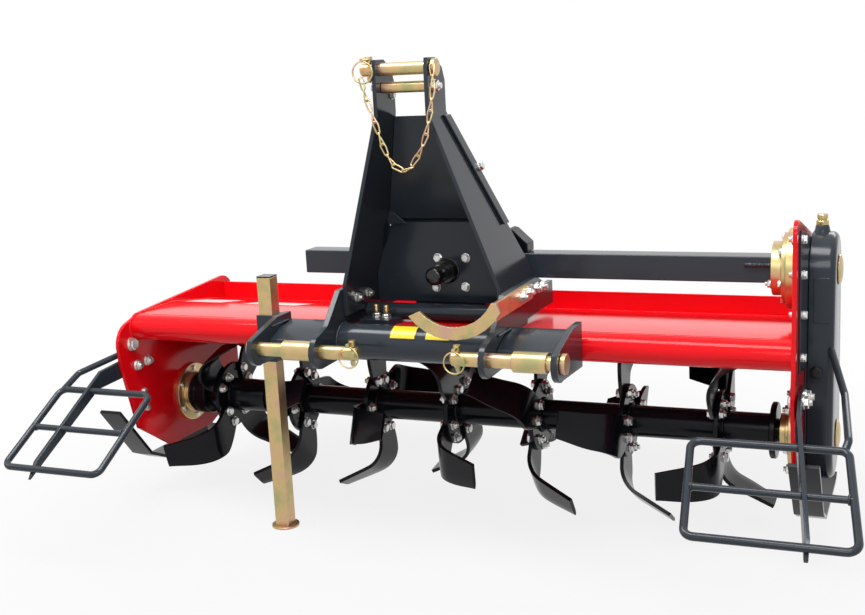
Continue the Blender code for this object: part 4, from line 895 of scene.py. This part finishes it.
def build_chain_tree():
    """Twisted oval links laid end to end along a smooth path, each a quarter turn from the last."""
    tree, given, result = new_group(
        "chain_links", "GeometryNodeTree",
        {"Route": "Geometry", "Pitch": 0.0222, "Half length": 0.0128, "Half width": 0.0046,
         "Wire radius": 0.0016, "Twist": 0.6, "Finish": "Material"}, {"Links": "Geometry"})
    calc = calculator(tree)
    route = feed(tree, "GeometryNodeMeshToCurve", {"Mesh": given["Route"]})
    smooth = feed(tree, "GeometryNodeCurveSplineType", {"Curve": route}, spline_type="CATMULL_ROM")
    spaced = feed(tree, "GeometryNodeResampleCurve", {"Curve": smooth, "Length": given["Pitch"]},
                  mode="LENGTH")
    places = wire(tree, "GeometryNodeCurveToPoints", {"Curve": spaced}, mode="EVALUATED").outputs
    hoop_curve = feed(tree, "GeometryNodeCurvePrimitiveCircle", {"Resolution": 24, "Radius": 1.0})
    here = feed(tree, "GeometryNodeInputPosition")
    spot = wire(tree, "ShaderNodeSeparateXYZ", {0: here}).outputs
    straight = calc("SUBTRACT", given["Half length"], given["Half width"])
    straight = calc("MULTIPLY", calc("SIGN", spot["Y"]), straight)
    along = calc("ADD", calc("MULTIPLY", spot["Y"], given["Half width"]), straight)
    across = calc("MULTIPLY", spot["X"], given["Half width"])
    turned_by = calc("MULTIPLY", calc("DIVIDE", along, given["Half length"]), given["Twist"])
    twisted = feed(tree, "ShaderNodeCombineXYZ", {0: calc("MULTIPLY", across, calc("COSINE", turned_by)),
                                                  1: calc("MULTIPLY", across, calc("SINE", turned_by)),
                                                  2: along})
    oval = feed(tree, "GeometryNodeSetPosition", {"Geometry": hoop_curve, "Position": twisted})
    link_wire = feed(tree, "GeometryNodeCurvePrimitiveCircle", {"Resolution": 8,
                                                                "Radius": given["Wire radius"]})
    link = feed(tree, "GeometryNodeCurveToMesh", {"Curve": oval, "Profile Curve": link_wire})
    odd = calc("FLOORED_MODULO", feed(tree, "GeometryNodeInputIndex"), 2.0)
    quarter = calc("ADD", calc("MULTIPLY", odd, math.pi / 2), 0.5)
    facing = feed(tree, "FunctionNodeRotateRotation",
                  {"Rotation": places["Rotation"], "Rotate By": turned_about(tree, (0.0, 0.0, 1.0), quarter)},
                  rotation_space="LOCAL")
    row = feed(tree, "GeometryNodeInstanceOnPoints", {"Points": places["Points"], "Instance": link,
                                                      "Rotation": facing})
    return deliver(tree, row, given["Finish"], result["Links"])


CHAIN_ROUTE = ((0.066, -0.2876, 0.752), (0.070, -0.298, 0.722), (0.064, -0.308, 0.665),
               (0.046, -0.310, 0.608), (0.010, -0.310, 0.566), (-0.024, -0.310, 0.592),
               (-0.046, -0.310, 0.650), (-0.060, -0.308, 0.690), (-0.072, -0.304, 0.720),
               (-0.074, -0.3031, 0.732))
chain_points, chain_edges = chained([([at(HITCH_X + x, y, z) for x, y, z in CHAIN_ROUTE], False)])
chain = grown("pin_chain_links", build_chain_tree(), YELLOW_ZINC, chain_points, chain_edges)
crisp(chain.data, 60.0)
hand_over(chain, YELLOW_ZINC, "pin_chain")

# Fixings: bright zinc plated bolts, nuts and washers. Each is a row of the point it sits on, the
# way it faces, its shank and whether it is a nut with the bolt's thread standing out.


def build_fixing_tree():
    """A washer and a hexagon at each place, and the end of the thread through every nut."""
    tree, given, result = new_group(
        "hex_fixings", "GeometryNodeTree",
        {"Places": "Geometry", "Washer radius": 1.05, "Washer thickness": 0.18, "Corner radius": 0.924,
         "Head height": 0.65, "Thread length": 0.5, "Turn seed": 11, "Finish": "Material"},
        {"Fixings": "Geometry"})
    calc = calculator(tree)
    here = feed(tree, "GeometryNodeInputPosition")
    spot = wire(tree, "ShaderNodeSeparateXYZ", {0: here}).outputs
    rise = calc("ADD", spot["Z"], 0.5)

    def turned(sides, rings, radius, spread_by, height):
        """A cylinder with its rings widened and moved to their heights."""
        stock = feed(tree, "GeometryNodeMeshCylinder", {"Vertices": sides, "Side Segments": rings,
                                                        "Radius": radius, "Depth": 1.0})
        place = feed(tree, "ShaderNodeCombineXYZ", {0: calc("MULTIPLY", spot["X"], spread_by),
                                                    1: calc("MULTIPLY", spot["Y"], spread_by),
                                                    2: height})
        return feed(tree, "GeometryNodeSetPosition", {"Geometry": stock, "Position": place})

    washer = turned(28, 1, given["Washer radius"], 1.0, calc("MULTIPLY", rise, given["Washer thickness"]))
    raised = calc("SUBTRACT", 1.0, calc("POWER", calc("SUBTRACT", 1.0, rise), 2.474))
    chamfer = calc("SUBTRACT", 1.0, calc("MULTIPLY", calc("GREATER_THAN", rise, 0.75), 0.13))
    head_z = calc("ADD", given["Washer thickness"], calc("MULTIPLY", raised, given["Head height"]))
    hexagon = turned(6, 2, given["Corner radius"], chamfer, head_z)
    groove = calc("FLOORED_MODULO", calc("ROUND", calc("MULTIPLY", rise, 8.0)), 2.0)
    groove = calc("SUBTRACT", 1.0, calc("MULTIPLY", groove, 0.1))
    thread_z = calc("ADD", given["Washer thickness"], calc("MULTIPLY", given["Head height"], 0.9))
    thread_z = calc("ADD", thread_z, calc("MULTIPLY", rise, given["Thread length"]))
    thread = turned(14, 8, 0.5, groove, thread_z)
    head = tree.nodes.new("GeometryNodeJoinGeometry")
    tree.links.new(washer, head.inputs[0])
    tree.links.new(hexagon, head.inputs[0])
    aim = column_of(tree, "aim", "FLOAT_VECTOR")
    facing = feed(tree, "FunctionNodeAlignRotationToVector", {"Vector": aim}, axis="Z")
    roll = wire(tree, "FunctionNodeRandomValue", {2: 0.0, 3: 1.047, "Seed": given["Turn seed"]},
                data_type="FLOAT").outputs[1]
    rolled = turned_about(tree, (0.0, 0.0, 1.0), roll)
    facing = feed(tree, "FunctionNodeRotateRotation", {"Rotation": facing, "Rotate By": rolled},
                  rotation_space="LOCAL")
    size = column_of(tree, "shank")
    scale = feed(tree, "ShaderNodeCombineXYZ", {0: size, 1: size, 2: size})
    both = tree.nodes.new("GeometryNodeJoinGeometry")
    for shape, chosen in ((head.outputs[0], True), (thread, column_of(tree, "nut", "BOOLEAN"))):
        row = feed(tree, "GeometryNodeInstanceOnPoints", {"Points": given["Places"], "Selection": chosen,
                                                          "Instance": shape, "Rotation": facing,
                                                          "Scale": scale})
        tree.links.new(row, both.inputs[0])
    return deliver(tree, both.outputs[0], given["Finish"], result["Fixings"])


FIXING_TREE = build_fixing_tree()
BRIGHT_ZINC = zinc_plate("bright_zinc_plate", [(0.60, 0.60, 0.57), (0.72, 0.72, 0.70), (0.50, 0.51, 0.52)],
                         0.26)
RIGHTWARD, LEFTWARD, FORWARD, UPWARD = (1, 0, 0), (-1, 0, 0), (0, -1, 0), (0, 0, 1)
# Faces that the fixings sit on: the chain case's base plate, and the arms of the guards
BASE_PLATE_FACE = 0.7383
ARM_FACE = 0.7433
SKID_Z = -0.088


def fixings(name, rows, coat=BRIGHT_ZINC, body="frame"):
    """Bolts and nuts of one body as one piece."""
    places, aims, shanks, nuts = zip(*rows)
    piece = grown(name, FIXING_TREE, coat, places,
                  columns=[("aim", "FLOAT_VECTOR", aims), ("shank", "FLOAT", shanks),
                           ("nut", "BOOLEAN", nuts)])
    crisp(piece.data)
    hand_over(piece, coat, body=body)


def ring_of(x, radius, centre_z, count, start_deg):
    """Points spaced round an axis that runs across the machine."""
    turns = [math.radians(start_deg + 360.0 * i / count) for i in range(count)]
    return [at(x, radius * math.cos(a), centre_z + radius * math.sin(a)) for a in turns]


def clamped(y, z, right_x, right_size, right_nut, left_x, left_size, left_nut):
    """Both ends of a bolt across the machine, the right one first."""
    return [(at(right_x, y, z), RIGHTWARD, right_size, right_nut),
            (at(left_x, y, z), LEFTWARD, left_size, left_nut)]


plate_rows = []
for y, z in ((-0.162, 0.351), (-0.154, 0.274), (-0.164, 0.195), (-0.170, 0.418)):
    plate_rows += clamped(y, z, BASE_PLATE_FACE, 0.0082, False, PLATE_INNER, 0.0115, True)
for y, z in ((-0.160, 0.120), (-0.196, 0.119)):
    plate_rows += clamped(y, z, ARM_FACE, 0.013, True, PLATE_INNER, 0.013, False)
plate_rows += clamped(-0.127, 0.098, PLATE_OUTER + 0.0003, 0.012, True, PLATE_INNER, 0.012, False)
plate_rows += clamped(-0.222, 0.171, -PLATE_INNER, 0.015, False, -PLATE_OUTER, 0.015, True)
plate_rows += [(at(-PLATE_INNER, -0.191, 0.052), RIGHTWARD, 0.008, False),
               (at(-PLATE_INNER, -0.186, 0.011), RIGHTWARD, 0.008, False)]
for y, z in ((-0.208, 0.118), (-0.169, 0.120)):
    plate_rows += clamped(y, z, -PLATE_INNER, 0.012, True, -ARM_FACE, 0.012, False)
for y in (-0.060, 0.030):
    plate_rows += [(at(0.7197, y, SKID_Z), LEFTWARD, 0.010, False),
                   (at(PLATE_OUTER, y, SKID_Z), RIGHTWARD, 0.010, True),
                   (at(-0.7423, y, SKID_Z), LEFTWARD, 0.010, False)]
# Columns: face, bolt circle, height of its middle, count, first bolt's angle, aim, shank, nuts
bearing_rows = []
for x, circle, z, count, start_deg, aim, shank, nut in (
        (-0.718, 0.0592, 0.0, 6, 30.0, RIGHTWARD, 0.0062, False),
        (0.703, 0.0765, 0.0, 6, 10.0, LEFTWARD, 0.0108, True),
        (0.6857, 0.0630, BEAM_Z, 6, 20.0, LEFTWARD, 0.0078, False)):
    bearing_rows += [(point, aim, shank, nut) for point in ring_of(x, circle, z, count, start_deg)]
bearing_rows.append((at(0.6647, -0.041, 0.310), LEFTWARD, 0.0085, True))
hitch_rows = [(at(x, -0.098, z), FORWARD, 0.0095, False)
              for x, z in ((-0.012, 0.360), (0.051, 0.361), (-0.018, 0.297), (0.048, 0.299))]
for y, z in ((-0.203, 0.292), (-0.150, 0.291), (-0.069, 0.281)):
    hitch_rows += clamped(y, z, -0.156, 0.011, True, -0.176, 0.011, False)
hitch_rows += [(at(x, y, z), RIGHTWARD, 0.0115, True)
               for x, y, z in ((0.2003, -0.183, 0.298), (0.2003, -0.145, 0.301), (0.192, -0.072, 0.295),
                               (0.192, -0.031, 0.292))]
hitch_rows += clamped(-0.262, 0.722, 0.066, 0.012, True, -0.050, 0.012, True)
hitch_rows += clamped(-0.221, 0.706, -0.042, 0.008, False, 0.058, 0.008, False)
hitch_rows += [(at(0.1098, -0.150, 0.557), (0.95, 0, 0.31), 0.010, False),
               (at(-0.0938, -0.150, 0.557), (-0.95, 0, 0.31), 0.010, False),
               (at(-0.124, -0.179, 0.2465), UPWARD, 0.010, False),
               (at(-0.098, -0.186, 0.2465), UPWARD, 0.010, False)]
fixings("frame_fixings", plate_rows + bearing_rows + hitch_rows)
# The blank is bolted to its flange with two bolts; columns: distance out and along the blank
tine_bolt_rows = []
for centre, left_bent, spin in tine_rows:
    side = -1 if left_bent else 1
    for out, along in ((0.054, -0.016), (0.044, -0.050)):
        radial = out * math.cos(BEND_LEAN) - along * math.sin(BEND_LEAN)
        trailing = out * math.sin(BEND_LEAN) + along * math.cos(BEND_LEAN)
        place = centre + Vector((0, trailing * math.cos(spin) - radial * math.sin(spin),
                                 trailing * math.sin(spin) + radial * math.cos(spin)))
        tine_bolt_rows += [(place + Vector((-side * 0.012, 0, 0)), (-side, 0, 0), 0.0105, False),
                           (place + Vector((side * 0.005, 0, 0)), (side, 0, 0), 0.0105, True)]
fixings("tine_bolts", tine_bolt_rows, body="rotor")
fixings("level_plug", [(at(0.7556, wall_y(0.147, 0.0), 0.147), FORWARD, 0.012, False)], BLACK_PLASTIC)

# Weld beads: the fillets that join the tubes, ears, rods and flanges, laid by hand in overlapping
# ripples and sprayed over with the enamel of their parts.


def build_weld_tree():
    """A rippled bead of weld along each path."""
    tree, given, result = new_group(
        "weld_beads", "GeometryNodeTree",
        {"Paths": "Geometry", "Step": 0.0013, "Ripple pitch": 0.0042, "Ripple depth": 0.16,
         "Unevenness": 0.5, "Finish": "Material"}, {"Beads": "Geometry"})
    calc = calculator(tree)
    path = feed(tree, "GeometryNodeMeshToCurve", {"Mesh": given["Paths"]})
    fine = feed(tree, "GeometryNodeResampleCurve", {"Curve": path, "Length": given["Step"]}, mode="LENGTH")
    arc = wire(tree, "GeometryNodeSplineParameter").outputs["Length"]
    wave = calc("SINE", calc("DIVIDE", calc("MULTIPLY", arc, 2 * math.pi), given["Ripple pitch"]))
    wave = calc("MULTIPLY", wave, given["Ripple depth"])
    drift = feed(tree, "ShaderNodeTexNoise", {"Scale": 120.0, "Detail": 1.0})
    drift = calc("MULTIPLY", calc("SUBTRACT", drift, 0.5), given["Unevenness"])
    width = calc("MULTIPLY", column_of(tree, "bead"), calc("ADD", calc("ADD", wave, drift), 1.0))
    section = feed(tree, "GeometryNodeCurvePrimitiveCircle", {"Resolution": 8, "Radius": 1.0})
    swept = feed(tree, "GeometryNodeCurveToMesh", {"Curve": fine, "Profile Curve": section,
                                                   "Scale": width, "Fill Caps": True})
    return deliver(tree, swept, given["Finish"], result["Beads"])


WELD_TREE = build_weld_tree()


def welds(name, rows, coat, body="frame"):
    """Beads of one body and paint; each row is its points, whether it closes, and its radius."""
    paths = [(points, closed) for points, closed, _ in rows]
    points, edges = chained(paths)
    beads = spread(paths, [radius for _, _, radius in rows])
    piece = grown(name, WELD_TREE, coat, points, edges, [("bead", "FLOAT", beads)])
    crisp(piece.data, 70.0)
    hand_over(piece, coat, body=body)


def girth(x, y, z, radius, count=28):
    """A circle round an axis that runs across the machine."""
    turns = [2 * math.pi * i / count for i in range(count)]
    return [at(x, y + radius * math.cos(a), z + radius * math.sin(a)) for a in turns]


red_welds = []
for side in (-1, 1):
    tube_end = girth(side * (DECK_HALF - 0.0008), FRONT_TUBE_Y, FRONT_TUBE_Z, FRONT_TUBE_R + 0.0008)
    deck_end = [at(side * (DECK_HALF - 0.001), y, z)
                for y, z in ((-0.168, 0.2345), (-0.052, 0.2345), (0.177, 0.1988))]
    red_welds += [(tube_end, True, 0.0028), (deck_end, False, 0.0026)]
welds("red_welds", red_welds, RED_ENAMEL)
slate_welds = [(girth(HITCH_X + side * (HITCH_TUBE_HALF - 0.001), HITCH_TUBE_Y, HITCH_TUBE_Z,
                      HITCH_TUBE_R + 0.0008), True, 0.0028) for side in (-1, 1)]
for node_name in ("ear_web_left", "ear_web_right"):
    low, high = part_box(node_name)
    for x in (low.x + 0.0008, high.x - 0.0008):
        front = Vector((x, low.y + 0.012, high.z + 0.0004))
        slate_welds.append(([front, front + Vector((0, 0.070, 0))], False, 0.0026))
for x, y, z in guard_joints:
    joint = [Vector((x, y + 0.0072 * math.cos(a), z + 0.0072 * math.sin(a)))
             for a in (2 * math.pi * i / 12 for i in range(12))]
    slate_welds.append((joint, True, 0.0022))
slate_welds.append(([at(x, -0.0275, BEAM_Z + 0.010) for x in (0.612, 0.676)], False, 0.0050))
welds("slate_welds", slate_welds, SLATE_ENAMEL)
welds("rotor_welds", [(girth(flange_x + side * 0.0062, 0, 0, ROTOR_R + 0.0012), True, 0.0036)
                      for flange_x in FLANGE_XS for side in (-1, 1)], BLACK_ENAMEL, body="rotor")

# Small plates of the hitch: the back plate's lower skirt, a clamp pad for the two deck studs, a
# tie bar between the feet of the mast, a gusset and the beam's saddle. Cut steel, sprayed.
MAST_TOP_Z = 0.671
MAST_FLARE = 0.114 / 0.345


def mast_half(z):
    """Outer half width of the flared mast at a height."""
    return TOP_HALF + MAST_FLARE * (MAST_TOP_Z - z)


def across_x(outline, ys):
    """Equal sections of a plate that lies across the machine, from its (x, z) corners."""
    return [[at(x, y, z) for x, z in outline] for y in ys]


skirt_rings = []
for z, front in ((0.450, -0.1034), (0.439, -0.0896), (0.350, -0.0896)):
    half = mast_half(z) - 0.0083
    skirt_rings.append([at(HITCH_X - half, front, z), at(HITCH_X + half, front, z),
                        at(HITCH_X + half, front + 0.003, z), at(HITCH_X - half, front + 0.003, z)])
folded_plate("back_plate_skirt", skirt_rings)
pad = ((-0.152, -0.206), (-0.084, -0.210), (-0.070, -0.172), (-0.152, -0.110))
folded_plate("stud_clamp_pad", [[at(x, y, z) for x, y in pad] for z in (0.2335, 0.2465)])
stud_thread = [(0.012 + 0.0015 * i, 0.0056 if i % 2 else 0.0062) for i in range(1, 10)]
for stud_name, stud_x, stud_y in (("left", -0.124, -0.179), ("right", -0.098, -0.186)):
    turned_piece("deck_stud_" + stud_name, "Z", at(stud_x, stud_y, 0.2465),
                 [(0.0, 0.0056), (0.012, 0.0056), *stud_thread, (0.027, 0.0050)], YELLOW_ZINC, segments=24)
folded_plate("mast_gusset", across_x(((-0.116, 0.470), (-0.074, 0.436), (-0.118, 0.433)), (-0.113, -0.108)))
turned_piece("mast_tie_bar", "X", at(HITCH_X, -0.150, 0.254),
             [(-0.163, 0.0168), (-0.162, 0.018), (0.162, 0.018), (0.163, 0.0168)], SLATE_ENAMEL)
folded_plate("beam_saddle", across_x(((0.096, 0.361), (0.100, 0.392), (0.120, 0.412), (0.130, 0.409),
                                      (0.162, 0.380), (0.162, 0.361)), (-0.022, 0.022)),
             BLACK_ENAMEL, edge=0.0015)

# Label places: blank film stuck on the deck and on the hitch tube, in plain colours inside a
# rim. Nothing is printed on them.


def printed_film(name, field, rim):
    """Blank label film: a plain field inside a rim, both a little uneven in the print."""
    finish, tree, surface = new_finish(name)
    skin = wire(tree, "ShaderNodeGroup", {"Peel scale": 700.0, "Tone scale": 60.0}, node_tree=ENAMEL_SKIN)
    reach = wire(tree, "ShaderNodeAttribute", attribute_name="rim").outputs["Fac"]
    inked = blended(tree, remapped(tree, reach, 0.45, 0.55), (*field, 1.0), (*rim, 1.0))
    tone = remapped(tree, skin.outputs["Tone"], 0.0, 1.0, 0.9, 1.05)
    shaded = feed(tree, "ShaderNodeVectorMath", {0: inked, "Scale": tone}, operation="SCALE")
    tree.links.new(shaded, surface["Base Color"])
    surface["Roughness"].default_value = 0.28
    return finish, "black_plastic"


def rim_steps(length, rim, middles):
    """Places of the grid's lines along one side: two at each edge of the rim, and the middles."""
    return [0.0, rim * 0.98, rim * 1.02, *middles, length - rim * 1.02, length - rim * 0.98, length]


def label(name, corner_at, width, height, coat, rim=0.006):
    """A thin film with a rim, laid on a surface given by corner_at(across, up, proud)."""
    steps_x = rim_steps(width, rim, [width * 0.5])
    steps_y = rim_steps(height, rim, [rim + (height - 2 * rim) * i / 6 for i in range(1, 6)])
    bm = bmesh.new()
    layers = []
    for proud in (0.0, 0.0006):
        layers.append([[bm.verts.new(corner_at(x, y, proud)) for x in steps_x] for y in steps_y])
    for grid in layers:
        for row, row_above in zip(grid, grid[1:]):
            for i in range(len(steps_x) - 1):
                bm.faces.new((row[i], row[i + 1], row_above[i + 1], row_above[i]))
    loops = []
    for grid in layers:
        right_side = [row[-1] for row in grid[1:-1]]
        left_side = [row[0] for row in grid[-2:0:-1]]
        loops.append(grid[0] + right_side + grid[-1][::-1] + left_side)
    low, high = loops
    for i in range(len(low)):
        j = (i + 1) % len(low)
        bm.faces.new((low[i], low[j], high[j], high[i]))
    bmesh.ops.recalc_face_normals(bm, faces=bm.faces)
    mesh = bpy.data.meshes.new(name)
    bm.to_mesh(mesh)
    bm.free()
    # The points were made row by row, so their shares of the rim follow the same order
    on_rim = [float(min(x, y, width - x, height - y) < rim) for y in steps_y for x in steps_x]
    share = mesh.attributes.new("rim", "FLOAT", "POINT")
    share.data.foreach_set("value", on_rim * len(layers))
    crisp(mesh)
    hand_over(bpy.data.objects.new(name, mesh), coat)


def on_deck(left, front):
    """Points on the sloping rear part of the deck."""
    def place(x, y, proud):
        past_crease = max(0.0, front + y + 0.052)
        return at(left + x, front + y, 0.2343 - 0.036 * past_crease / 0.232 + proud)
    return place


def on_hitch_tube(left, low_deg):
    """Points on the front of the hitch tube, counted up from an angle."""
    def place(x, y, proud):
        angle = math.radians(low_deg) + y / HITCH_TUBE_R
        reach = HITCH_TUBE_R + 0.0003 + proud
        return at(left + x, HITCH_TUBE_Y - reach * math.cos(angle), HITCH_TUBE_Z + reach * math.sin(angle))
    return place


YELLOW_FILM = printed_film("yellow_label_film", (0.86, 0.62, 0.02), (0.03, 0.03, 0.03))
PALE_FILM = printed_film("pale_label_film", (0.82, 0.78, 0.76), (0.70, 0.10, 0.10))
label("deck_label_left", on_deck(-0.715, -0.030), 0.112, 0.110, PALE_FILM)
label("deck_label_right", on_deck(-0.542, -0.044), 0.150, 0.090, PALE_FILM)
label("tube_label_left", on_hitch_tube(-0.047, 26.0), 0.058, 0.038, YELLOW_FILM, rim=0.0025)
label("tube_label_right", on_hitch_tube(0.030, 26.0), 0.055, 0.025, YELLOW_FILM, rim=0.0025)
